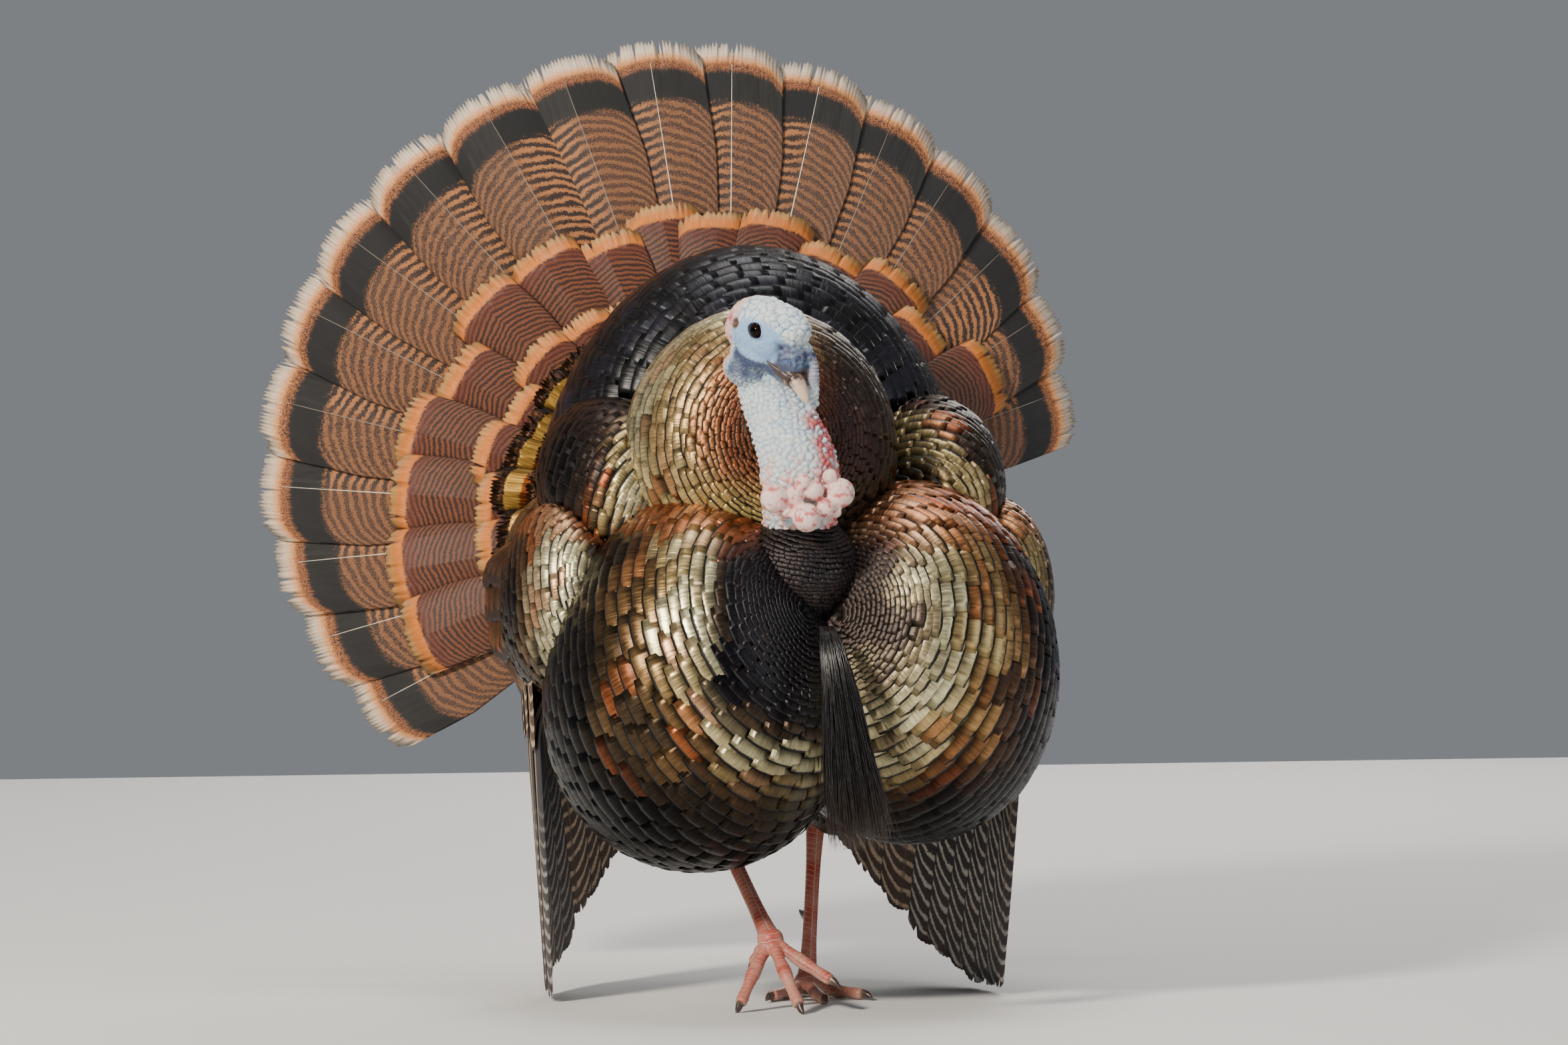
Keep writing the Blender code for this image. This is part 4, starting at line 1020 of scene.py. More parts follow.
def tract_colours(feathers, stops, seed, drift=11.0, odd=1.4, copper=(50.0, 96.0), coppery=0.62):
    """A colour for each feather by its place in the tract, with soft drifts and some copper patches."""
    tips, angles = feathers.tips, feathers.angles
    count = len(tips)
    moved = angles + drift * 2.0 * waver(tips, 0.040, seed) + coat_draw.normal(0.0, odd, count)
    colours = along_angles(moved, stops)
    rusty = smooth_step(0.28, 0.46, waver(tips, 0.034, seed + 40) + coat_draw.uniform(-0.06, 0.06, count))
    within = smooth_step(copper[0], copper[0] + 12.0, angles)
    within = within * smooth_step(copper[1] + 12.0, copper[1], angles)
    colours = over(colours, COPPER, rusty * within * coppery)
    return colours * coat_draw.uniform(0.93, 1.06, (count, 1))


def coat_piece(name, batches, finish_made):
    """One piece of several tracts, each given as its corners, feathers, colours, bands and shine."""
    corners, uvs, bakes, tints, bands, shines, odds = [], [], [], [], [], [], []
    vane_map = np.column_stack([VANE_CORNERS[:, 0] * 0.5 + 0.5, VANE_CORNERS[:, 1]])
    patch = np.column_stack([VANE_CORNERS[:, 0] * 0.5, VANE_CORNERS[:, 1] - 0.5]) * BAKE_PATCH
    grid = math.ceil(math.sqrt(len(batches)))
    for index, (vanes, feathers, colours, band, shine) in enumerate(batches):
        count, size = vanes.shape[:2]
        corners.append(vanes)
        uvs.append(np.tile(vane_map, (count, 1, 1)))
        cell = (np.array((index % grid, index // grid)) + feathers.places) / grid
        bakes.append(cell[:, None] + patch[None])
        tints.append(np.repeat(colours, size, axis=0))
        odds.append(np.repeat(coat_draw.uniform(0.0, 10.0, count), size))
        bands.append(np.repeat(np.broadcast_to(band, count), size))
        shines.append(np.repeat(np.broadcast_to(shine, count), size))
    made = joined_vanes(name, np.vstack(corners), VANE_FACES, np.vstack(uvs), np.vstack(bakes))
    give_colours(made, "Tint", np.clip(np.vstack(tints), 0.0, 1.0))
    give_numbers(made, "Band", "FLOAT", np.concatenate(bands))
    give_numbers(made, "Shine", "FLOAT", np.concatenate(shines))
    give_numbers(made, "Odd", "FLOAT", np.concatenate(odds))
    made.data.materials.append(finish_made)
    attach(made, "root")
    return made


def effect(name, inputs, outputs):
    """A new node group of numbers, with what comes into it and what leaves it."""
    made = bpy.data.node_groups.new(name, "ShaderNodeTree")
    for way, labels in (("INPUT", inputs), ("OUTPUT", outputs)):
        for label in labels:
            made.interface.new_socket(label, in_out=way, socket_type="NodeSocketFloat")
    return made, made.nodes.new("NodeGroupInput").outputs, made.nodes.new("NodeGroupOutput").inputs


# The vane's own detail, shared by every feather finish. Fine barbs slant up from the shaft on both sides, and
# the shaft is a narrow line.
vane_detail, given, leaves = effect(
    "vane detail", ("Barbs", "Shaft width"), ("Along", "Across", "Lines", "Shaft")
)
vane_map = node(vane_detail, "UVMap", uv_map="Vane").outputs[0]
across, along, _ = node(vane_detail, "SeparateXYZ", {0: vane_map}).outputs
off_middle = aside(vane_detail, across, 0.5)
slanted = sums(vane_detail, "SUBTRACT", along, sums(vane_detail, "MULTIPLY", off_middle, 0.55))
slanted = sums(vane_detail, "MULTIPLY_ADD", mottled(vane_detail, vane_map, 7.0), 0.03, slanted)
barb = sums(vane_detail, "SINE", sums(vane_detail, "MULTIPLY", slanted, given["Barbs"]))
shaft_share = sums(vane_detail, "DIVIDE", off_middle, given["Shaft width"])
for label, value in (
    ("Lines", sums(vane_detail, "MULTIPLY_ADD", barb, 0.5, 0.5)),
    ("Along", along),
    ("Across", across),
    ("Shaft", ramp(vane_detail, shaft_share, 0.6, 1.0, 1.0, 0.0)),
):
    vane_detail.links.new(value, leaves[label])


def detail_of(tree, barbs, shaft_width):
    return node(tree, "Group", {"Barbs": barbs, "Shaft width": shaft_width}, node_tree=vane_detail).outputs


# Each feather has its own ground colour, streaked and clouded and darkest at its sides, and ends in black. It
# shines like worn metal as far as the black end.
plumage, tree, shader = finish("bronze plumage", 0.3)
detail = detail_of(tree, 260.0, 0.020)
tinted = told(tree, "Tint", "Color")
band = told(tree, "Band")
shine = told(tree, "Shine")
odd = told(tree, "Odd")
across = sums(tree, "MULTIPLY", detail["Across"], 15.0)
fibre_place = node(tree, "CombineXYZ", {0: across, 1: detail["Along"], 2: sums(tree, "MULTIPLY", odd, 7.0)})
fibres = mottled(tree, fibre_place.outputs[0], 1.6, 3.0)
place = node(tree, "TexCoord").outputs["Object"]
cloud = mottled(tree, place, 130.0, 2.0)
edge = sums(tree, "MULTIPLY_ADD", fibres, 0.05, sums(tree, "SUBTRACT", detail["Along"], 0.025))
past = sums(tree, "SUBTRACT", edge, band)
tipped = ramp(tree, past, 0.0, 0.025)
# Painted shade and highlight: the root end of each exposed strip is darkened as if shaded by the row above,
# and the part just behind the tip is lightened a little.
row_shade_and_highlight = ramp(tree, detail["Along"], 0.62, 0.86, 0.22, 1.10)
cloudy = ramp(tree, cloud, 0.3, 0.7, 0.82, 1.15)
patchy = sums(tree, "MULTIPLY", cloudy, ramp(tree, fibres, 0.3, 0.7, 0.74, 1.16))
colour = blend(tree, 1.0, tinted, sums(tree, "MULTIPLY", row_shade_and_highlight, patchy), "MULTIPLY")
side_edge = aside(tree, detail["Across"], 0.5)
colour = blend(tree, ramp(tree, side_edge, 0.475, 0.50, 0.0, 0.3), colour, (0.012, 0.010, 0.010, 1.0))
colour = blend(tree, tipped, colour, (0.010, 0.009, 0.010, 1.0))
painted(tree, shader, colour)
gleam = sums(tree, "MULTIPLY", shine, sums(tree, "MULTIPLY_ADD", tipped, -0.75, 1.0))
tree.links.new(gleam, shader.inputs["Metallic"])
rough = ramp(tree, fibres, 0.3, 0.7, 0.26, 0.40)
tree.links.new(sums(tree, "MULTIPLY_ADD", tipped, 0.12, rough), shader.inputs["Roughness"])
relief = sums(tree, "MULTIPLY_ADD", detail["Lines"], 0.12, fibres)
relief = sums(tree, "MULTIPLY_ADD", detail["Shaft"], 0.5, relief)
bumped(tree, shader, relief, 0.00035, 0.6)


def breast_size(angle):
    grown = float(smooth_step(20.0, 50.0, angle))
    return 0.0046 + 0.0084 * grown, 0.0095 + 0.0325 * grown, 0.018 + 0.022 * grown


# The pale gold band round each lobe is partly the feathers' own gold and partly a painted highlight. The dark
# middle round each pole, darkest on the right lobe, is partly painted shade.
BREASTS = (  # side, pole in the cleft, seed of the drifts, then degrees from the pole and their colours
    ("right", (0.578, -0.705, 0.412), 4, (
        (0, linear(17, 15, 22)), (34, linear(22, 19, 25)), (42, linear(72, 58, 44)), (54, PALE_GOLD),
        (65, GOLD), (74, linear(128, 96, 60)), (84, linear(84, 66, 44)), (96, linear(50, 42, 32)),
        (112, linear(26, 22, 20)), (135, BLACK),
    )),
    ("left", (-0.674, -0.674, 0.302), 3, (
        (0, linear(58, 46, 42)), (24, linear(66, 52, 44)), (34, linear(150, 134, 102)), (46, PALE_GOLD),
        (59, GOLD), (70, linear(138, 94, 56)), (82, linear(76, 55, 43)), (96, linear(38, 31, 32)),
        (118, linear(17, 18, 28)),
    )),
)
for side, pole, seed, stops in BREASTS:
    rings = rings_of_feathers("breast_" + side, pole, (4.0, 180.0), breast_size, loose=0.05)
    tips, angles = rings.tips, rings.angles
    laid = laid_vanes("breast_" + side, rings)
    colours = tract_colours(rings, stops, seed)
    rust = smooth_step(0.375, 0.410, tips[:, 2]) * smooth_step(20.0, 40.0, angles)
    colours = over(colours, COPPER, rust * 0.75)
    colours = over(colours, BLACK, smooth_step(0.240, 0.160, tips[:, 2]) * 0.92)
    colours = over(colours, linear(44, 36, 34), smooth_step(0.0, 0.08, tips[:, 1]) * 0.6)
    bands = coat_draw.uniform(0.91, 0.95, len(tips)) - 0.06 * smooth_step(95.0, 130.0, angles)
    shines = 0.45 + 0.40 * smooth_step(30.0, 46.0, angles) - 0.35 * smooth_step(100.0, 135.0, angles)
    coat_piece("coat_breast_" + side, [(laid, rings, colours, bands, shines)], plumage)


def ruff_size(angle):
    grown = float(smooth_step(22.0, 62.0, angle))
    return 0.0040 + 0.0070 * grown, 0.0085 + 0.0195 * grown, 0.015 + 0.019 * grown


# The pale gold ring is partly the feathers' own gold and partly a painted highlight.
RUFF_STOPS = (
    (0, UMBER), (24, linear(150, 84, 52)), (44, linear(170, 120, 76)), (62, GOLD), (84, PALE_GOLD),
    (110, BRONZE),
)
rings = rings_of_feathers("ruff", (0.02, -1.0, 0.03), (15.0, 180.0), ruff_size, loose=0.22)
tips, angles = rings.tips, rings.angles
laid = laid_vanes("ruff", rings, lift=0.0010)
colours = tract_colours(rings, RUFF_STOPS, 6, drift=8.0, odd=3.0, copper=(20.0, 80.0), coppery=0.5)
colours = colours * coat_draw.uniform(0.66, 1.12, (len(tips), 1))
low = smooth_step(0.455, 0.410, tips[:, 2])
colours = over(colours, linear(150, 140, 84), low * smooth_step(70.0, 40.0, angles) * 0.8)
# Painted shadow: the bird's left half of the ruff is darkened as if shaded by the head and neck.
colours = over(colours, linear(40, 30, 33), smooth_step(-0.015, 0.030, tips[:, 0]) * 0.88)
bands = coat_draw.uniform(0.91, 0.95, len(tips))
coat_piece("coat_ruff", [(laid, rings, colours, bands, 0.72)], plumage)


def even_size(exposure, width, length):
    return lambda angle: (exposure, width, length)


def drifting_tract(mass_name, pole, reach, sizes, patch, seed, palette, clear=0.90, **form):
    """A tract whose colours drift through a palette in soft patches."""
    rings = rings_of_feathers(mass_name, pole, reach, even_size(*sizes), clear)
    laid = laid_vanes(mass_name, rings, **form)
    share = 0.5 + 0.75 * waver(rings.tips, patch, seed) + coat_draw.uniform(-0.2, 0.2, len(rings.tips))
    return laid, rings, along_palette(share, palette)


laid, rings, colours = drifting_tract(
    "throat", (0.1, -0.25, 1.0), (30.0, 165.0), (0.0042, 0.0080, 0.016), 0.03, 26,
    (linear(26, 22, 27), linear(48, 38, 38), linear(30, 24, 28)), clear=0.97,
)
coat_piece("coat_throat", [(laid, rings, colours, 0.94, 0.4)], plumage)

laid, rings, colours = drifting_tract(
    "nape", (0.0, -1.0, 0.0), (40.0, 180.0), (0.0120, 0.0290, 0.040), 0.04, 46,
    (linear(30, 24, 26), linear(58, 46, 38), linear(24, 20, 24), linear(44, 36, 32)),
)
# The bird's right front of the nape turns gold, partly the feathers' own bronze and partly a painted
# highlight on the lit side.
nape_lit_gold = smooth_step(-0.03, -0.10, rings.tips[:, 0]) * smooth_step(0.05, 0.0, rings.tips[:, 1])
colours = over(colours, GOLD, nape_lit_gold * 0.6)
coat_piece("coat_nape", [(laid, rings, colours, 0.94, 0.5)], plumage)

rings = rings_of_feathers("back", (0.0, -1.0, 0.25), (36.0, 180.0), even_size(0.0130, 0.0340, 0.046))
laid = laid_vanes("back", rings, lift=0.0016)
colours = along_palette(0.5 + waver(rings.tips, 0.04, 9), (BLACK, BLACK, linear(30, 28, 38), BLACK))
colours = over(colours, linear(112, 66, 34), smooth_step(0.15, 0.20, rings.tips[:, 1]) * 0.6)
coat_piece("coat_back", [(laid, rings, colours, 0.955, 0.35)], plumage)

for side, sign in (("right", -1.0), ("left", 1.0)):
    batches = []
    # The bright band in the shoulder and wrist tracts is partly a painted highlight: pale gold on the bird's
    # right, the lit side, and darker gold on its left, the shaded side.
    wing_lit_gold = PALE_GOLD if side == "right" else GOLD
    tracts = (  # mass, pole, spacing with width and length, seed of the drifts, shine, degrees and colours
        ("shoulder", (-0.74 * sign, -0.62, -0.20), (0.0110, 0.0270, 0.034), 12, 0.75, (
            (0, linear(52, 44, 38)), (38, linear(92, 80, 60)), (58, wing_lit_gold), (76, GOLD), (92, UMBER),
            (125, DARK),
        )),
        ("wrist", (-0.70 * sign, -0.70, 0.05), (0.0098, 0.0240, 0.031), 13, 0.75, (
            (0, linear(150, 138, 126)), (30, linear(120, 112, 100)), (50, wing_lit_gold), (84, wing_lit_gold),
            (104, BRONZE), (130, DARK),
        )),
        ("flank", (-0.20 * sign, -0.85, 0.50), (0.0150, 0.0340, 0.048), 15, 0.55, (
            (0, UMBER), (90, UMBER), (130, linear(50, 40, 34)), (180, DARK),
        )),
        ("forearm", (-0.20 * sign, -0.85, 0.50), (0.0150, 0.0340, 0.048), 14, 0.55, (
            (0, OLIVE), (60, BRONZE), (90, linear(104, 84, 56)), (130, linear(60, 48, 38)), (170, DARK),
        )),
    )
    for mass, pole, sizes, seed, shine, stops in tracts:
        rings = rings_of_feathers(f"{mass}_{side}", pole, (6.0, 180.0), even_size(*sizes))
        laid = laid_vanes(f"{mass}_{side}", rings)
        colours = tract_colours(rings, stops, seed)
        tall = rings.tips[:, 2]
        if mass == "shoulder":
            colours = over(colours, COPPER, smooth_step(0.405, 0.385, tall) * 0.7)
        if mass == "wrist":
            colours = over(colours, COPPER, smooth_step(0.380, 0.400, tall) * 0.7)
            colours = over(colours, linear(50, 42, 36), smooth_step(0.310, 0.270, tall) * 0.7)
        batches.append((laid, rings, colours, coat_draw.uniform(0.90, 0.94, len(tall)), shine))
    coat_piece("coat_wing_" + side, batches, plumage)

# The belly and rump are dull and soft, the thighs nearly black, and brown feathers close the tail's root.
MASSES["thigh_left"] = ((0.062, 0.033, 0.190), (0.040, 0.046, 0.062), 0.0, 29.0)
MASSES["thigh_right"] = ((-0.068, 0.030, 0.190), (0.040, 0.046, 0.062), 0.0, -8.0)
BELLY_PALETTE = (DARK, UMBER, linear(92, 68, 50), UMBER, linear(108, 80, 58))
batches = []
for mass, pole, sizes, reach in (
    ("trunk", (0.0, -1.0, 0.0), (0.0110, 0.0270, 0.040), (60.0, 180.0)),
    ("thigh_left", (0.0, 0.0, 1.0), (0.0085, 0.0170, 0.026), (40.0, 180.0)),
    ("thigh_right", (0.0, 0.0, 1.0), (0.0085, 0.0170, 0.026), (40.0, 180.0)),
):
    laid, rings, colours = drifting_tract(
        mass, pole, reach, sizes, 0.05, 16, BELLY_PALETTE, lift=0.001, blunt=0.16
    )
    if mass != "trunk":
        colours = over(colours, BLACK, np.full(len(colours), 0.55))
    batches.append((laid, rings, colours, 0.90, 0.25))
MASSES["tail_root"] = TAIL_ROOT
laid, rings, colours = drifting_tract(
    "tail_root", (0.0, -1.0, 0.0), (60.0, 180.0), (0.0110, 0.0200, 0.030), 0.03, 36,
    (UMBER, linear(104, 66, 48), linear(120, 78, 54), linear(86, 56, 42)),
)
batches.append((laid, rings, colours, 0.92, 0.2))
coat_piece("coat_belly_and_thighs", batches, plumage)

# ---------------------------------------------------------------- tail quills
# Eighteen broad quills stand in a dished fan. Each is one closed vane on a fine shaft, barred brown, with a
# black band and a buff tip whose barbs have worn into a comb with a few deep splits.
FAN_CENTRE = np.array((-0.005, 0.214, 0.392))
FAN_LEAN, FAN_ROLL = math.radians(-4.0), math.radians(-23.5)
FAN_TURN = np.array(Matrix.Rotation(FAN_LEAN, 3, "X") @ Matrix.Rotation(FAN_ROLL, 3, "Y"))
FAN_HALF_SPREAD = math.radians(94.5)
FAN_RADIUS = 0.4190
FAN_OUTER_RADIUS = 0.3450
QUILL_HALF_WIDTH = 0.0460
QUILL_START = 0.050
QUILLS_A_SIDE = 9
MAP_ACROSS = 0.10  # metres that the vane map spans across and along
MAP_ALONG = 0.40
ROD_STATIONS = 15
ROD_RING = np.array(((1.0, 0.0), (0.0, 1.0), (-1.0, 0.0), (0.0, -1.0)))
quill_draw = np.random.default_rng(5)


def on_fan(across, up, back):
    """Points of the dished fan: across and up its middle line, and behind its surface."""
    square = across**2 + up**2
    side_share = across**2 / np.maximum(square, 1e-9)
    local = np.stack([across, square * (0.20 + 0.30 * side_share) + back, up], axis=-1)
    return FAN_CENTRE + local @ FAN_TURN.T


def worn_edge(barbs, tooth, splits, depth):
    """How far each barb end falls short of the vane's outline."""
    short = np.where(np.arange(barbs) % 2, 0.0, tooth * quill_draw.uniform(0.5, 1.5, barbs))
    short += quill_draw.uniform(0.0, tooth * 0.7, barbs)
    for column in quill_draw.integers(2, barbs - 2, splits):
        short[column] += quill_draw.uniform(0.4, 1.0) * depth
    return short


def quill_vane(place_at, start, tip, half_width, outline, rows, short, thick, slender):
    """A closed vane with a column for every gap between barbs.

    place_at turns distance along, offset across and lift into points, and outline tells how far the tip's
    edge falls back.
    """
    columns = len(short) - 1
    form, faces = vane_form(columns, rows)
    across, along, face = form.T
    drop = short[np.rint((across + 1.0) * 0.5 * columns).astype(int)]
    end = tip - outline(across)
    spread = along**0.85
    reach = start + (end - start) * spread - drop * smooth_step(0.80, 1.0, spread)
    share = (reach - start) / (tip - start)
    half = half_width * (slender + (1.0 - slender) * np.minimum(1.0, share / 0.72) ** 0.85)
    offset = half * across
    lift = face * thick * (1.0 - across**2) * np.where(along < 1.0, 1.0, 0.0)
    points = place_at(reach, offset, lift, across, share)
    from_tip = np.maximum(end - reach, 0.0)
    vane_map = np.column_stack([0.5 + offset / MAP_ACROSS, from_tip / MAP_ALONG])
    bake = np.column_stack([0.5 + 0.96 * offset / (2.0 * half_width * 1.02), 0.02 + 0.96 * share])
    return points, faces, vane_map, bake


def rod_faces(stations, sides):
    """The long faces of a rod whose corners are listed ring by ring."""
    return [
        (sides * row + side, sides * row + after, sides * (row + 1) + after, sides * (row + 1) + side)
        for row in range(stations - 1)
        for side, after in zip(range(sides), (*range(1, sides), 0))
    ]


def in_row(part, index, count):
    """A vane or rod whose bake map takes its own column of the row's map."""
    points, faces, vane_map, bake = part
    return points, faces, vane_map, np.column_stack([(index + bake[:, 0]) / count, bake[:, 1]])


def shaft_rod(place_at, start, tip, thick, thin):
    """The shaft as a closed four-sided rod that stands a little proud on both sides of the vane."""
    sides = len(ROD_RING)
    stations = np.linspace(0.0, 1.0, ROD_STATIONS)
    reach = np.repeat(start + (tip - start) * stations, sides)
    radius = np.repeat(thick + (thin - thick) * stations, sides)
    corners = np.tile(ROD_RING, (ROD_STATIONS, 1)) * radius[:, None]
    share = (reach - start) / (tip - start)
    points = place_at(reach, corners[:, 0], corners[:, 1], corners[:, 0] * 0.0, share)
    faces = rod_faces(ROD_STATIONS, sides)
    faces += [tuple(reversed(range(sides))), tuple(range(len(reach) - sides, len(reach)))]
    flat = np.column_stack([np.full(len(reach), -1.0), share])
    bake = np.column_stack([0.003 + 0.01 * (np.tile(ROD_RING[:, 0], ROD_STATIONS) + 1.0), share])
    return points, np.array(faces), flat, bake


def one_quill(name, parts, finish_made, nodes, values):
    """Vanes and rods joined into one piece, with numbers that its finish reads."""
    corners, faces, uvs, bake = zip(*parts)
    starts = np.cumsum([0, *map(len, corners)])
    faces = np.vstack([part + start for part, start in zip(faces, starts)])
    corners = np.vstack(corners)
    made = joined_vanes(name, corners[None], faces, np.vstack(uvs)[None], np.vstack(bake)[None])
    outward = bmesh.new()
    outward.from_mesh(made.data)
    bmesh.ops.recalc_face_normals(outward, faces=outward.faces)
    outward.to_mesh(made.data)
    outward.free()
    for label, value in values.items():
        give_numbers(made, label, "FLOAT", np.broadcast_to(value, len(corners)))
    made.data.materials.append(finish_made)
    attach(made, "root")
    if nodes:
        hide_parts(*nodes)
    return made


# Bars and specks, shared by the finishes of the tail, its coverts and the wing quills. The vane map holds
# lengths across the vane and from its tip, so that a bar keeps its real width. A shaft's map lies off the
# vane's. What leaves this group counts in millimetres.
barring, given, leaves = effect(
    "barring",
    ("Pitch", "Slant", "Lean", "Waver", "Odd"),
    ("Bars", "Specks", "From tip", "Side", "Streaks", "Shaft"),
)
vane_map = node(barring, "UVMap", uv_map="Vane").outputs[0]
map_across, map_along, _ = node(barring, "SeparateXYZ", {0: vane_map}).outputs
side_mm = sums(barring, "MULTIPLY_ADD", map_across, 1000.0 * MAP_ACROSS, -500.0 * MAP_ACROSS)
from_tip = sums(barring, "MULTIPLY", map_along, 1000.0 * MAP_ALONG)
apart = sums(barring, "MULTIPLY", given["Odd"], 40.0)
in_mm = node(barring, "CombineXYZ", {0: side_mm, 1: from_tip, 2: apart}).outputs[0]
wavering = sums(barring, "SUBTRACT", mottled(barring, in_mm, 0.075, 3.0), 0.5)
wavering = sums(barring, "MULTIPLY", wavering, given["Waver"])
leaning = sums(barring, "MULTIPLY", sums(barring, "ABSOLUTE", side_mm), given["Slant"])
leaning = sums(barring, "MULTIPLY_ADD", side_mm, given["Lean"], leaning)
phase = sums(barring, "ADD", sums(barring, "ADD", from_tip, leaning), wavering)
phase = sums(barring, "MULTIPLY_ADD", given["Odd"], 3.7, phase)
phase = sums(barring, "MULTIPLY", sums(barring, "DIVIDE", phase, given["Pitch"]), 2.0 * math.pi)
drawn_out = sums(barring, "MULTIPLY", from_tip, 0.06)
stretched = node(barring, "CombineXYZ", {0: side_mm, 1: drawn_out, 2: given["Odd"]}).outputs[0]
for label, value in (
    ("Bars", sums(barring, "SINE", phase)),
    ("Specks", mottled(barring, in_mm, 0.95)),
    ("From tip", from_tip),
    ("Side", side_mm),
    ("Streaks", mottled(barring, stretched, 0.9, 3.0)),
    ("Shaft", sums(barring, "LESS_THAN", map_across, -0.5)),
):
    barring.links.new(value, leaves[label])


def barred(tree, pitch, slant, waver_mm, lean=0.0):
    inputs = {"Pitch": pitch, "Slant": slant, "Lean": lean, "Waver": waver_mm, "Odd": told(tree, "Odd")}
    return node(tree, "Group", inputs, node_tree=barring).outputs


def barbed(tree, shader, streaks, streaky, fine):
    """Relief of the barbs, coarse streaks and fine lines."""
    lines = sums(tree, "MULTIPLY", detail_of(tree, 2600.0, 0.01)["Lines"], fine)
    bumped(tree, shader, sums(tree, "MULTIPLY_ADD", streaks, streaky, lines), 0.0004, 0.7)


def bars_with_specks(tree, seen, specks, how, low, high):
    """Bars whose edges are broken by the specks."""
    loose = sums(tree, "MULTIPLY_ADD", specks, how, -0.5 * how)
    return ramp(tree, sums(tree, "ADD", seen["Bars"], loose), low, high)


# From the tip down, a quill is buff, finely freckled, black in a broad band, and then barred. One web of each
# is boldly barred and the other mostly speckled.
quill_look, tree, shader = finish("tail quill", 0.58)
seen = barred(tree, 8.2, -0.22, 9.0)
specks = ramp(tree, seen["Specks"], 0.36, 0.64)
web = told(tree, "Web")
bold = ramp(tree, sums(tree, "MULTIPLY", seen["Side"], web), -6.0, 14.0, 0.22, 1.0)
bars = bars_with_specks(tree, seen, specks, 1.3, -0.25, 0.45)
plain = blend(tree, specks, shade(58, 40, 33), shade(122, 82, 56))
stripes = blend(tree, bars, shade(36, 26, 25), shade(182, 118, 68))
colour = blend(tree, sums(tree, "MULTIPLY_ADD", bold, 0.70, 0.18), plain, stripes)
colour = blend(tree, ramp(tree, seen["From tip"], 150.0, 330.0, 0.0, 0.65), colour, shade(70, 42, 30))
wander = sums(tree, "MULTIPLY_ADD", seen["Streaks"], 9.0, sums(tree, "ADD", seen["From tip"], -4.5))
wander = sums(tree, "ADD", wander, sums(tree, "MULTIPLY_ADD", specks, 3.0, -1.5))
band = sums(tree, "MULTIPLY", ramp(tree, wander, 24.5, 27.5), ramp(tree, wander, 51.0, 57.0, 1.0, 0.0))
colour = blend(tree, band, colour, shade(14, 12, 13))
sooty = sums(tree, "MULTIPLY", ramp(tree, wander, 17.0, 19.5), ramp(tree, wander, 24.5, 28.0, 1.0, 0.0))
freckled = blend(tree, specks, shade(46, 28, 22), shade(176, 106, 58))
colour = blend(tree, sooty, colour, freckled)
buff = blend(tree, ramp(tree, wander, 8.0, 18.0), shade(250, 232, 208), shade(226, 150, 84))
buff = blend(tree, ramp(tree, seen["Streaks"], 0.3, 0.7, 0.35, 0.0), buff, shade(150, 96, 58))
colour = blend(tree, ramp(tree, wander, 17.0, 19.5, 1.0, 0.0), colour, buff)
pale_shaft = told(tree, "Pale")
shaft_colour = blend(tree, pale_shaft, shade(74, 50, 36), shade(232, 220, 200))
colour = blend(tree, seen["Shaft"], colour, shaft_colour)
painted(tree, shader, colour)
barbed(tree, shader, seen["Streaks"], 0.7, 0.3)

for side, sign in (("right", -1.0), ("left", 1.0)):
    for number in range(1, QUILLS_A_SIDE + 1):
        angle = sign * 2.0 * FAN_HALF_SPREAD / (2.0 * QUILLS_A_SIDE - 1.0) * (number - 0.5)
        slip = 0.0 if number == QUILLS_A_SIDE else quill_draw.uniform(-0.010, 0.010)
        tip = FAN_RADIUS - (FAN_RADIUS - FAN_OUTER_RADIUS) * (abs(angle) / FAN_HALF_SPREAD) ** 2.2
        layer = 0.0018 if sign > 0 else 0.0
        cup = quill_draw.uniform(0.0006, 0.0022)

        def place_at(reach, offset, lift, across, share):
            turn = angle + slip * smooth_step(0.3, 1.0, share)
            back = layer - 0.0026 * across * sign + cup * across**2 - 0.0010 * share**2 - lift
            sine, cosine = np.sin(turn), np.cos(turn)
            return on_fan(reach * sine + offset * cosine, reach * cosine - offset * sine, back)

        def outline(across):
            return 0.0075 * across**2 + 0.013 * np.abs(across) ** 5

        short = worn_edge(61, 0.0036, 6, 0.012)
        end = tip - 0.0015
        vane = quill_vane(place_at, QUILL_START, end, QUILL_HALF_WIDTH, outline, 15, short, 0.00035, 0.10)
        rod = shaft_rod(place_at, QUILL_START - 0.01, tip - 0.022, 0.0016, 0.0004)
        values = {
            "Odd": quill_draw.uniform(0.0, 10.0),
            "Web": -sign if quill_draw.uniform() < 0.85 else sign,
            "Pale": 1.0 if (sign < 0 and number > 5) or (sign > 0 and number in (2, 3, 4)) else 0.25,
        }
        one_quill(
            f"tail_quill_{side}_{number}", [vane, rod], quill_look,
            [f"tail_feather_{side}_{number}"], values,
        )

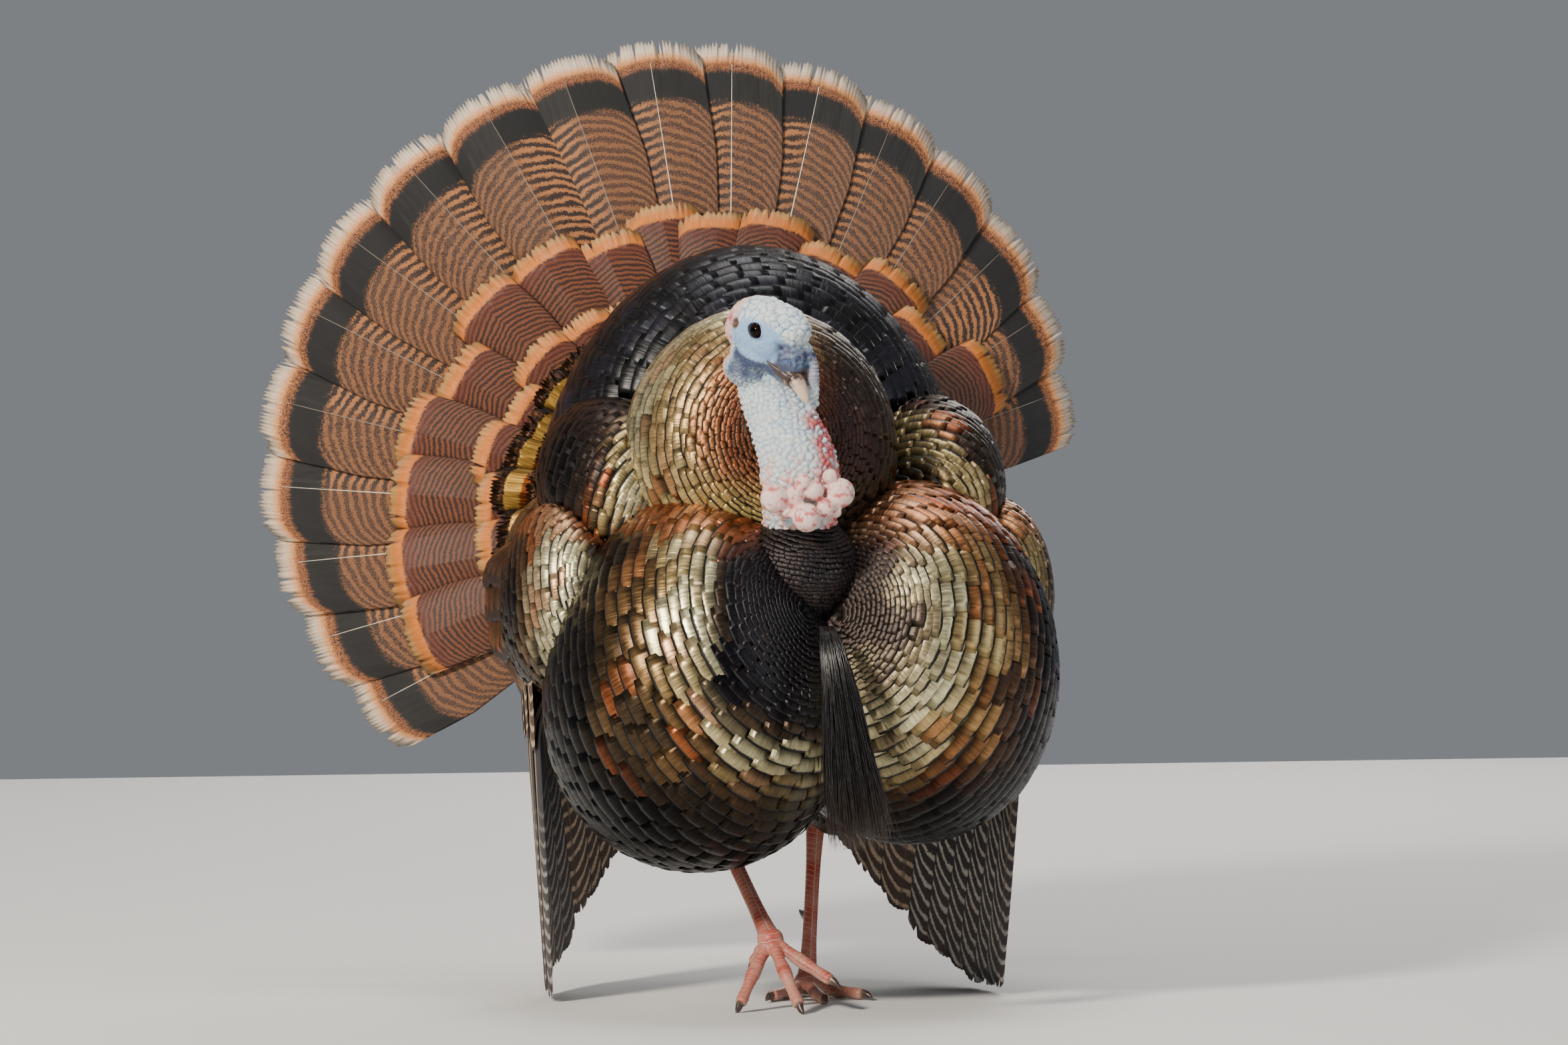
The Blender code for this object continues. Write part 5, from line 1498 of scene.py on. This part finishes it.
# ---------------------------------------------------------------- tail coverts
# In front of the quills lie two rows of shorter chestnut feathers with a combed orange fringe, and inside
# them two narrow rows of burnished copper ones. Two more chestnut rows cover the quills' roots behind. Each
# feather is one closed vane, laid along the fan.
covert_look, tree, shader = finish("tail covert", 0.50)
seen = barred(tree, 4.6, -0.30, 6.0)
specks = ramp(tree, seen["Specks"], 0.34, 0.66)
bars = bars_with_specks(tree, seen, specks, 1.2, -0.4, 0.5)
colour = blend(tree, bars, shade(54, 30, 23), shade(124, 70, 42))
colour = blend(tree, ramp(tree, seen["From tip"], 45.0, 110.0, 0.0, 0.6), colour, shade(92, 58, 42))
wander = sums(tree, "MULTIPLY_ADD", seen["Streaks"], 6.0, sums(tree, "ADD", seen["From tip"], -3.0))
rosy = sums(tree, "MULTIPLY", ramp(tree, wander, 16.0, 18.0), ramp(tree, wander, 20.0, 30.0, 0.55, 0.0))
colour = blend(tree, rosy, colour, shade(98, 42, 30))
fringe = blend(tree, ramp(tree, wander, 2.0, 10.0), shade(238, 186, 112), shade(222, 128, 48))
fringe = blend(tree, ramp(tree, seen["Streaks"], 0.3, 0.7, 0.45, 0.0), fringe, shade(150, 84, 36))
colour = blend(tree, ramp(tree, wander, 14.5, 16.5, 1.0, 0.0), colour, fringe)
burnish = told(tree, "Burnish")
copper = blend(tree, ramp(tree, wander, 7.0, 12.0), shade(214, 128, 52), shade(226, 176, 84))
copper = blend(tree, ramp(tree, wander, 12.5, 14.0), shade(18, 14, 12), copper)
copper = blend(tree, ramp(tree, wander, 26.0, 28.0), copper, shade(150, 74, 26))
copper = blend(tree, ramp(tree, seen["Streaks"], 0.35, 0.65, 0.0, 0.6), copper, shade(84, 50, 24))
dark_sides = ramp(tree, sums(tree, "ABSOLUTE", seen["Side"]), 13.0, 18.0, 0.0, 0.8)
copper = blend(tree, dark_sides, copper, shade(24, 18, 14))
colour = blend(tree, burnish, colour, copper)
colour = blend(tree, seen["Shaft"], colour, shade(86, 50, 32))
painted(tree, shader, colour)
tree.links.new(sums(tree, "MULTIPLY", burnish, 0.85), shader.inputs["Metallic"])
tree.links.new(ramp(tree, burnish, 0.0, 1.0, 0.50, 0.28), shader.inputs["Roughness"])
barbed(tree, shader, seen["Streaks"], 0.8, 0.25)

# Each row: name, how many, half spread in degrees, radius of the tips, how ragged, half width, how far in
# front of the quills, where the vanes start, and whether they are burnished.
COVERT_ROWS = (
    ("long", 15, 86.0, 0.272, 0.019, 0.034, 0.0095, 0.085, 0.0),
    ("short", 15, 88.0, 0.213, 0.010, 0.029, 0.0140, 0.060, 0.0),
    ("inmost", 17, 90.0, 0.160, 0.006, 0.021, 0.0215, 0.060, 1.0),
    ("inner", 19, 90.0, 0.186, 0.005, 0.021, 0.0180, 0.060, 1.0),
    ("under", 13, 84.0, 0.215, 0.010, 0.034, -0.0150, 0.050, 0.0),
    ("under_short", 11, 84.0, 0.130, 0.010, 0.028, -0.0190, 0.020, 0.0),
)


def covert_row(name, count, half_spread, radius, ragged, half_width, front, start, burnish):
    parts, odds = [], []
    for index in range(count):
        angle = math.radians(half_spread) * (2.0 * index / (count - 1) - 1.0)
        angle += quill_draw.uniform(-0.03, 0.03)
        tip = radius + quill_draw.uniform(-ragged, ragged)
        tip -= 0.014 * burnish * math.sin(angle)
        layer = -front - 0.0006 * (index % 2) - 0.0004 * quill_draw.uniform()
        cup = quill_draw.uniform(0.0010, 0.0030) * (1.0 if front > 0 else -1.0)
        twist = 0.0022 * (-1.0 if index < count / 2 else 1.0)

        def place_at(reach, offset, lift, across, share):
            back = layer + cup * across**2 + twist * across - 0.0020 * share**3 * np.sign(front) - lift
            sine, cosine = math.sin(angle), math.cos(angle)
            return on_fan(reach * sine + offset * cosine, reach * cosine - offset * sine, back)

        def outline(across):
            return 0.0035 * across**2 + 0.007 * np.abs(across) ** 6

        short = worn_edge(29, 0.0026, 3, 0.007)
        vane = quill_vane(place_at, start, tip, half_width, outline, 9, short, 0.0003, 0.25)
        parts.append(in_row(vane, index, count))
        odds.append(np.full(len(vane[0]), quill_draw.uniform(0.0, 10.0)))
    nodes = {"long": ["uppertail_coverts"], "under": ["undertail_coverts"]}.get(name, [])
    values = {"Odd": np.concatenate(odds), "Burnish": burnish}
    return one_quill("tail_coverts_" + name, parts, covert_look, nodes, values)


for row in COVERT_ROWS:
    covert_row(*row)

# ---------------------------------------------------------------- wing quills
# The wings droop, so that their primaries hang like a curtain and brush the floor, with the browner
# secondaries behind them and short brown coverts over the roots of both. Each is a stiff narrow vane on a
# strong shaft, barred white on black or buff on brown.
CURTAIN_TOP = 0.318
CURTAIN_HALF_WIDTH = 0.210
CURTAIN_HALF_DEPTH = 0.232
CURTAIN_DRAW_IN = 0.020
CURTAIN_SWEEP = math.radians(7.0)
WING_ROWS = (  # name, how many, first and last place round the body in degrees, top, half width
    ("coverts", 12, -6.0, 60.0, CURTAIN_TOP, 0.0150),
    ("primaries", 6, -6.5, 33.0, 0.285, 0.0240),
    ("secondaries", 6, 36.5, 64.0, 0.300, 0.0225),
)
BROWNNESS = {"primaries": 0.08, "secondaries": 0.75, "coverts": 1.0}


def on_curtain(sign, turn, height, top, out):
    """Points round the body at a turn from its side, drawn in and swept back as the curtain hangs."""
    share = 1.0 - height / top
    draw_in = 1.0 - CURTAIN_DRAW_IN * share / CURTAIN_HALF_WIDTH
    swept = turn + CURTAIN_SWEEP * share
    across = sign * (CURTAIN_HALF_WIDTH * draw_in + out) * np.cos(swept)
    back = (CURTAIN_HALF_DEPTH * draw_in + out) * np.sin(swept)
    return np.stack([across, back, height], axis=-1)


wing_look, tree, shader = finish("wing quill", 0.50)
seen = barred(tree, 12.5, 0.04, 9.0, -0.30)
specks = ramp(tree, seen["Specks"], 0.30, 0.70)
browner = told(tree, "Brown")
edge = ramp(tree, sums(tree, "ABSOLUTE", seen["Side"]), 0.8, 3.0, 0.45, 1.0)
bars = bars_with_specks(tree, seen, specks, 0.9, 0.35, 0.70)
shown = sums(tree, "MAXIMUM", browner, ramp(tree, seen["From tip"], 70.0, 210.0, 1.0, 0.30))
shown = sums(tree, "SUBTRACT", shown, told(tree, "Faint"), clamp=True)
bars = sums(tree, "MULTIPLY", bars, sums(tree, "MULTIPLY", edge, shown))
ground = blend(tree, browner, shade(20, 18, 24), shade(82, 62, 48))
ground = blend(tree, ramp(tree, seen["From tip"], 25.0, 110.0, 0.55, 0.0), ground, shade(86, 62, 46))
ground = blend(tree, ramp(tree, seen["Streaks"], 0.3, 0.7, 0.0, 0.35), ground, shade(36, 40, 58))
pale = blend(tree, browner, shade(214, 208, 198), shade(196, 166, 130))
colour = blend(tree, bars, ground, pale)
colour = blend(tree, seen["Shaft"], colour, shade(158, 132, 104))
painted(tree, shader, colour)
barbed(tree, shader, seen["Streaks"], 0.7, 0.3)

for side, sign in (("right", -1.0), ("left", 1.0)):
    for name, count, first, last, top, half_width in WING_ROWS:
        parts, odds, browns = [], [], []
        for index in range(count):
            share = (index + 0.5) / count
            turn = math.radians(first + (last - first) * share + quill_draw.uniform(-0.5, 0.5))
            if name == "primaries":
                low = 0.0012 + 0.060 * max(0.0, share - 0.35) ** 1.3 + quill_draw.uniform(0.0, 0.003)
            elif name == "secondaries":
                low = 0.052 + 0.090 * share + quill_draw.uniform(-0.004, 0.004)
            else:
                low = 0.212 + 0.022 * share + quill_draw.uniform(-0.004, 0.004)
            layer = 0.0055 if name == "coverts" else 0.0012
            bow = quill_draw.uniform(0.0003, 0.0007)

            def place_at(reach, offset, lift, across, share):
                spot = np.clip(share, 0.0, 1.0)
                out = layer - bow * across**2 - 0.0014 * across + lift - 0.018 * smooth_step(0.24, 0.0, spot)
                round_body = turn + offset / CURTAIN_HALF_WIDTH
                return on_curtain(sign, round_body, top - reach, top, out)

            def outline(across):
                return 0.012 * np.abs(across + 0.25) ** 2.6

            length = top - low
            short = worn_edge(21, 0.0010, 2, 0.008)
            vane = quill_vane(place_at, 0.0, length, half_width, outline, 22, short, 0.0004, 0.6)
            rod = shaft_rod(place_at, 0.0, length - 0.012, 0.0015, 0.0004)
            for part in (vane, rod):
                parts.append(in_row(part, index, count))
                odds.append(np.full(len(part[0]), quill_draw.uniform(0.0, 10.0)))
                browns.append(np.full(len(part[0]), BROWNNESS[name]))
        faint = 0.45 if (side, name) == ("right", "primaries") else 0.0
        values = {"Odd": np.concatenate(odds), "Brown": np.concatenate(browns), "Faint": faint}
        nodes = [] if name == "coverts" else [f"wing_{side}_{name}"]
        one_quill(f"wing_{name}_{side}", parts, wing_look, nodes, values)

# ---------------------------------------------------------------- upper wing coverts
# Four rows of broad bronze coverts with black ends cover the upper wing, from under the shoulder down over
# the roots of the quills. They lie on the curtain's own surface, swelled out over the forearm.
COVERT_TIPS = (0.250, 0.282, 0.314, 0.343)
COVERT_WIDTH, COVERT_LENGTH = 0.0370, 0.0660
COVERTS_IN_ROW = 12
FIRST_TURN, ALL_TURN = 4.0, 54.0
COVERT_PALETTE = (linear(132, 96, 60), linear(112, 84, 54), linear(84, 66, 48), linear(60, 50, 42))
SWELL_TURNS = (0.0, 10.0, 20.0, 35.0, 50.0, 62.0)
SWELLS = (0.012, 0.019, 0.031, 0.048, 0.045, 0.014)

for side, sign in (("right", -1.0), ("left", 1.0)):
    turns, ends, rows = [], [], []
    for row, end in enumerate(COVERT_TIPS):
        shares = np.arange(COVERTS_IN_ROW) + 0.5 * (row % 2) + quill_draw.uniform(-0.08, 0.08, COVERTS_IN_ROW)
        turns.append(np.radians(FIRST_TURN + ALL_TURN * shares / COVERTS_IN_ROW))
        ends.append(end + quill_draw.uniform(-0.003, 0.003, COVERTS_IN_ROW))
        rows.append(np.full(COVERTS_IN_ROW, float(row)))
    turns, ends, rows = np.concatenate(turns)[:, None], np.concatenate(ends)[:, None], np.concatenate(rows)
    across, along, face = VANE_CORNERS.T[:, None]
    half = 0.5 * COVERT_WIDTH * (0.55 + 0.45 * np.minimum(1.0, along / 0.45) ** 0.8)
    height = ends + COVERT_LENGTH * (1.0 - along * (1.0 - 0.14 * across**2 * along**3))
    turned = turns - sign * half * across / CURTAIN_HALF_WIDTH
    swell = np.interp(np.degrees(turned), SWELL_TURNS, SWELLS)
    rise = smooth_step(0.235, 0.300, height) * smooth_step(0.430, 0.345, height)
    tucked = smooth_step(0.360, 0.430, height)
    out = swell * rise - 0.045 * tucked - 0.0045 + 0.0070 * along
    out = out + half * (0.05 * across - 0.05 * across**2) + VANE_THICKNESS * face * (1.0 - across**2)
    laid = on_curtain(sign, turned, height, CURTAIN_TOP, out)
    places = np.column_stack([turns[:, 0] / 1.25, (ends[:, 0] - 0.20) / 0.25])
    share = rows / (len(COVERT_TIPS) - 1) + quill_draw.uniform(-0.12, 0.12, len(rows))
    colours = along_palette(share, COVERT_PALETTE)
    colours = over(colours, COPPER, (quill_draw.uniform(0, 1, len(rows)) < 0.25) * 0.45)
    feathers = Feathers(laid.mean(axis=1), None, None, None, places, None)
    batch = (laid, feathers, colours, 0.86, 0.55)
    coat_piece("wing_upper_coverts_" + side, [batch], plumage)

# ---------------------------------------------------------------- beard
# A tassel of stiff black bristles hangs from the cleft of the breast. Each is a long tapering three-sided
# rod, closed at both ends, that runs down inside the tassel's outline, and a few stray out of it.
BEARD_STATIONS = (  # x, y, z, half width and half depth of the tassel
    (-0.0060, -0.2240, 0.3230, 0.0050, 0.0040),
    (-0.0040, -0.2400, 0.3050, 0.0100, 0.0065),
    (0.0010, -0.2500, 0.2640, 0.0155, 0.0080),
    (0.0070, -0.2528, 0.2150, 0.0220, 0.0085),
    (0.0130, -0.2518, 0.1740, 0.0270, 0.0080),
    (0.0180, -0.2500, 0.1400, 0.0280, 0.0060),
)
BRISTLES = 620
BRISTLE_SIDES = np.array([0.0, 2.1, 4.2])
beard_draw = np.random.default_rng(31)
route = smooth_route(BEARD_STATIONS, 2)
steps = len(route)
turn = beard_draw.uniform(0.0, 2.0 * math.pi, BRISTLES)
spoke = np.sqrt(beard_draw.uniform(0.0, 1.0, BRISTLES))
ends = beard_draw.uniform(0.55, 1.0, BRISTLES) ** 0.5
share = np.linspace(0.0, 1.0, steps)[None, :] * ends[:, None]
marks = np.linspace(0.0, 1.0, steps)
stations = np.stack([np.interp(share, marks, column) for column in route.T], axis=-1)
stray = (beard_draw.uniform(0, 1, BRISTLES) > 0.95)[:, None] * share**2 * 0.55
waves, start = beard_draw.uniform(6, 16, (BRISTLES, 1)), beard_draw.uniform(0, 6, (BRISTLES, 1))
wave = 0.0009 * np.sin(share * waves + start)
centre_x = stations[..., 0] + np.cos(turn)[:, None] * spoke[:, None] * stations[..., 3] * (1.0 + stray)
centre_x = centre_x + wave
centre_y = stations[..., 1] + np.sin(turn)[:, None] * spoke[:, None] * stations[..., 4] * (1.0 + stray)
thick = np.interp(share / ends[:, None], (0.0, 0.6, 1.0), (0.00050, 0.00042, 0.00012))
corners = np.stack(
    [
        centre_x[..., None] + thick[..., None] * np.cos(BRISTLE_SIDES),
        centre_y[..., None] + thick[..., None] * np.sin(BRISTLE_SIDES),
        np.broadcast_to(stations[..., 2][..., None], centre_x.shape + (3,)),
    ],
    axis=-1,
).reshape(BRISTLES, steps * 3, 3)
bristle_faces = np.array([tuple(reversed(face)) for face in rod_faces(steps, 3)])
root_map = 0.5 + 0.45 * np.column_stack([np.cos(turn), np.sin(turn)]) * spoke[:, None]
rod_map = np.column_stack([np.tile(np.arange(3) / 2.0, steps), np.repeat(np.linspace(0.0, 1.0, steps), 3)])
bake = root_map[:, None] + (rod_map[None] - 0.5) * BAKE_PATCH
beard = joined_vanes("beard_bristles", corners, bristle_faces, np.tile(rod_map, (BRISTLES, 1, 1)), bake)
closing = bmesh.new()
closing.from_mesh(beard.data)
bmesh.ops.holes_fill(closing, edges=[edge for edge in closing.edges if edge.is_boundary], sides=3)
bmesh.ops.recalc_face_normals(closing, faces=closing.faces)
closing.to_mesh(beard.data)
closing.free()
bristle_look, tree, shader = finish("bristles", 0.32)
strand = mottled(tree, node(tree, "TexCoord").outputs["Object"], 420.0)
along = node(tree, "SeparateXYZ", {0: node(tree, "UVMap", uv_map="Vane").outputs[0]}).outputs[1]
colour = blend(tree, ramp(tree, strand, 0.35, 0.7), shade(14, 13, 15), shade(44, 40, 42))
colour = blend(tree, ramp(tree, along, 0.75, 1.0, 0.0, 0.5), colour, shade(84, 62, 46))
painted(tree, shader, colour)
beard.data.materials.append(bristle_look)
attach(beard, "root")
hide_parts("beard")

# ---------------------------------------------------------------- claws and spurs
# Blunt curved claws of dark horn grow from the toes, paler where they leave the skin, and a sharp spur stands
# behind each shank. Each is one closed tapering tube, rooted in the leg.
claw_look, tree, shader = finish("claw horn", 0.30)
place = node(tree, "TexCoord").outputs["Object"]
bands = mottled(tree, place, 300.0, 3.0)
rooted = told(tree, "Root")
colour = blend(tree, ramp(tree, bands, 0.3, 0.7), shade(40, 30, 27), shade(84, 66, 58))
colour = blend(tree, ramp(tree, rooted, 0.45, 1.0, 0.0, 0.85), colour, shade(186, 160, 140))
painted(tree, shader, colour)
bumped(tree, shader, bands, 0.0002, 0.4)
CLAW_LENGTH = 0.0165
CLAW = ((-0.1, 0.0030), (0.1, 0.0037), (0.45, 0.0030), (0.8, 0.0017), (1.0, 0.0006))  # share along, radius
SPUR_LENGTH = 0.0215
SPUR = ((0.15, 0.0048), (0.45, 0.0040), (0.75, 0.0024), (1.0, 0.0006))
SPUR_PLACE = 0.62  # share down the shank


def horn_tip(name, stations, across, replaced):
    shape = bmesh.new()
    limb(shape, stations, 14, steps=4, across=across)
    made = as_piece(name, shape)
    made.data.transform(Matrix.Translation(HOME))
    made.data.shade_smooth()
    spots = corners_of(made)
    run = np.linalg.norm(spots - np.array(HOME + Vector(stations[0][:3])), axis=1)
    give_numbers(made, "Root", "FLOAT", 1.0 - np.clip(run / run.max(), 0.0, 1.0))
    made.data.materials.append(claw_look)
    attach(made, "root")
    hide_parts(replaced)


for side, (_, ankle, joint) in LEGS.items():
    for name, (middle, last) in TOES[side].items():
        middle, last = Vector(middle), Vector(last)
        run = (last - middle).normalized()
        stations = []
        for share, radius in CLAW:
            reach = 0.0012 + CLAW_LENGTH * share * (1.0 - 0.25 * share)
            point = last + run * reach + Vector((0.0, 0.0, 0.0006 - 0.0034 * share * share))
            point.z = max(point.z, radius + 0.0002)
            stations.append((*point, radius * 0.85, radius))
        horn_tip(f"claw_{side}_{name}", stations, toe_side(middle, last), f"leg_{side}_claw_{name}")
    ankle, joint = Vector(ankle), Vector(joint)
    root = ankle.lerp(joint, SPUR_PLACE)
    inward = Vector((0.25 if side == "right" else -0.25, 1.0, 0.10)).normalized()
    stations = [
        (*(root + inward * SPUR_LENGTH * share + Vector((0, 0, 0.003 * share**2))), radius, radius)
        for share, radius in SPUR
    ]
    horn_tip(f"spur_{side}", stations, Vector((1, 0, 0)), f"leg_{side}_spur")

# ---------------------------------------------------------------- floor, light and camera
# The bird stands on a plain flat pale floor, in the light of four soft lamps and a faint sky. The long lens
# is set low, a little to the bird's right of straight ahead.
floor_shape = bmesh.new()
bmesh.ops.create_grid(floor_shape, x_segments=1, y_segments=1, size=1.0)
bmesh.ops.scale(floor_shape, vec=(6.0, 3.0, 1.0), verts=floor_shape.verts)
bmesh.ops.translate(floor_shape, vec=(0.0, -0.2, 0.0), verts=floor_shape.verts)
floor = as_piece("floor", floor_shape)
floor_finish, _, shader = finish("floor", 0.85)
shader.inputs["Base Color"].default_value = (0.72, 0.71, 0.69, 1.0)
floor.data.materials.append(floor_finish)

world = bpy.data.worlds.new("studio")
world.use_nodes = True
sky = world.node_tree.nodes["Background"].inputs
sky["Color"].default_value = (0.80, 0.84, 0.90, 1.0)
sky["Strength"].default_value = 0.26
bpy.context.scene.world = world

LAMPS_AIM = HOME + Vector((0.0, 0.0, 0.40))
LAMPS = (  # name, place from what they aim at, width, watts, colour
    ("key", (-2.9, -2.6, 2.1), 0.55, 270.0, (1.0, 0.92, 0.80)),
    ("fill", (2.8, -2.6, 1.2), 1.8, 22.0, (0.86, 0.92, 1.0)),
    ("top", (0.2, 0.3, 2.8), 1.4, 42.0, (1.0, 0.98, 0.95)),
    ("rear", (1.2, 3.0, 1.6), 1.6, 60.0, (1.0, 0.97, 0.92)),
)
for name, offset, width, watts, colour in LAMPS:
    lamp = bpy.data.lights.new(name, "AREA")
    lamp.size = width
    lamp.energy = watts
    lamp.color = colour
    holder = bpy.data.objects.new(name, lamp)
    holder.location = LAMPS_AIM + Vector(offset)
    holder.rotation_euler = (-Vector(offset)).to_track_quat("-Z", "Y").to_euler()
    bpy.context.scene.collection.objects.link(holder)

CAMERA_TURN = math.radians(-12.0)
CAMERA_RISE = math.radians(2.5)
CAMERA_DISTANCE = 9.0
AIM_ACROSS = 0.0064
AIM_HEIGHT = 0.3977
SENSOR_WIDTH = 36.0
LENS_FOR_A_METRE = 27.5  # keeps the bird's size in the frame, however far off the lens stands
camera = bpy.data.cameras.new("camera")
camera.sensor_width = SENSOR_WIDTH
camera.lens = LENS_FOR_A_METRE * CAMERA_DISTANCE
camera.clip_end = 100.0
viewer = bpy.data.objects.new("camera", camera)
aim = HOME + Vector((math.cos(CAMERA_TURN), math.sin(CAMERA_TURN), 0.0)) * AIM_ACROSS
aim.z = AIM_HEIGHT
back = Vector(
    (
        math.sin(CAMERA_TURN) * math.cos(CAMERA_RISE),
        -math.cos(CAMERA_TURN) * math.cos(CAMERA_RISE),
        math.sin(CAMERA_RISE),
    )
)
viewer.location = aim + back * CAMERA_DISTANCE
viewer.rotation_euler = (-back).to_track_quat("-Z", "Y").to_euler()
bpy.context.scene.collection.objects.link(viewer)
bpy.context.scene.camera = viewer
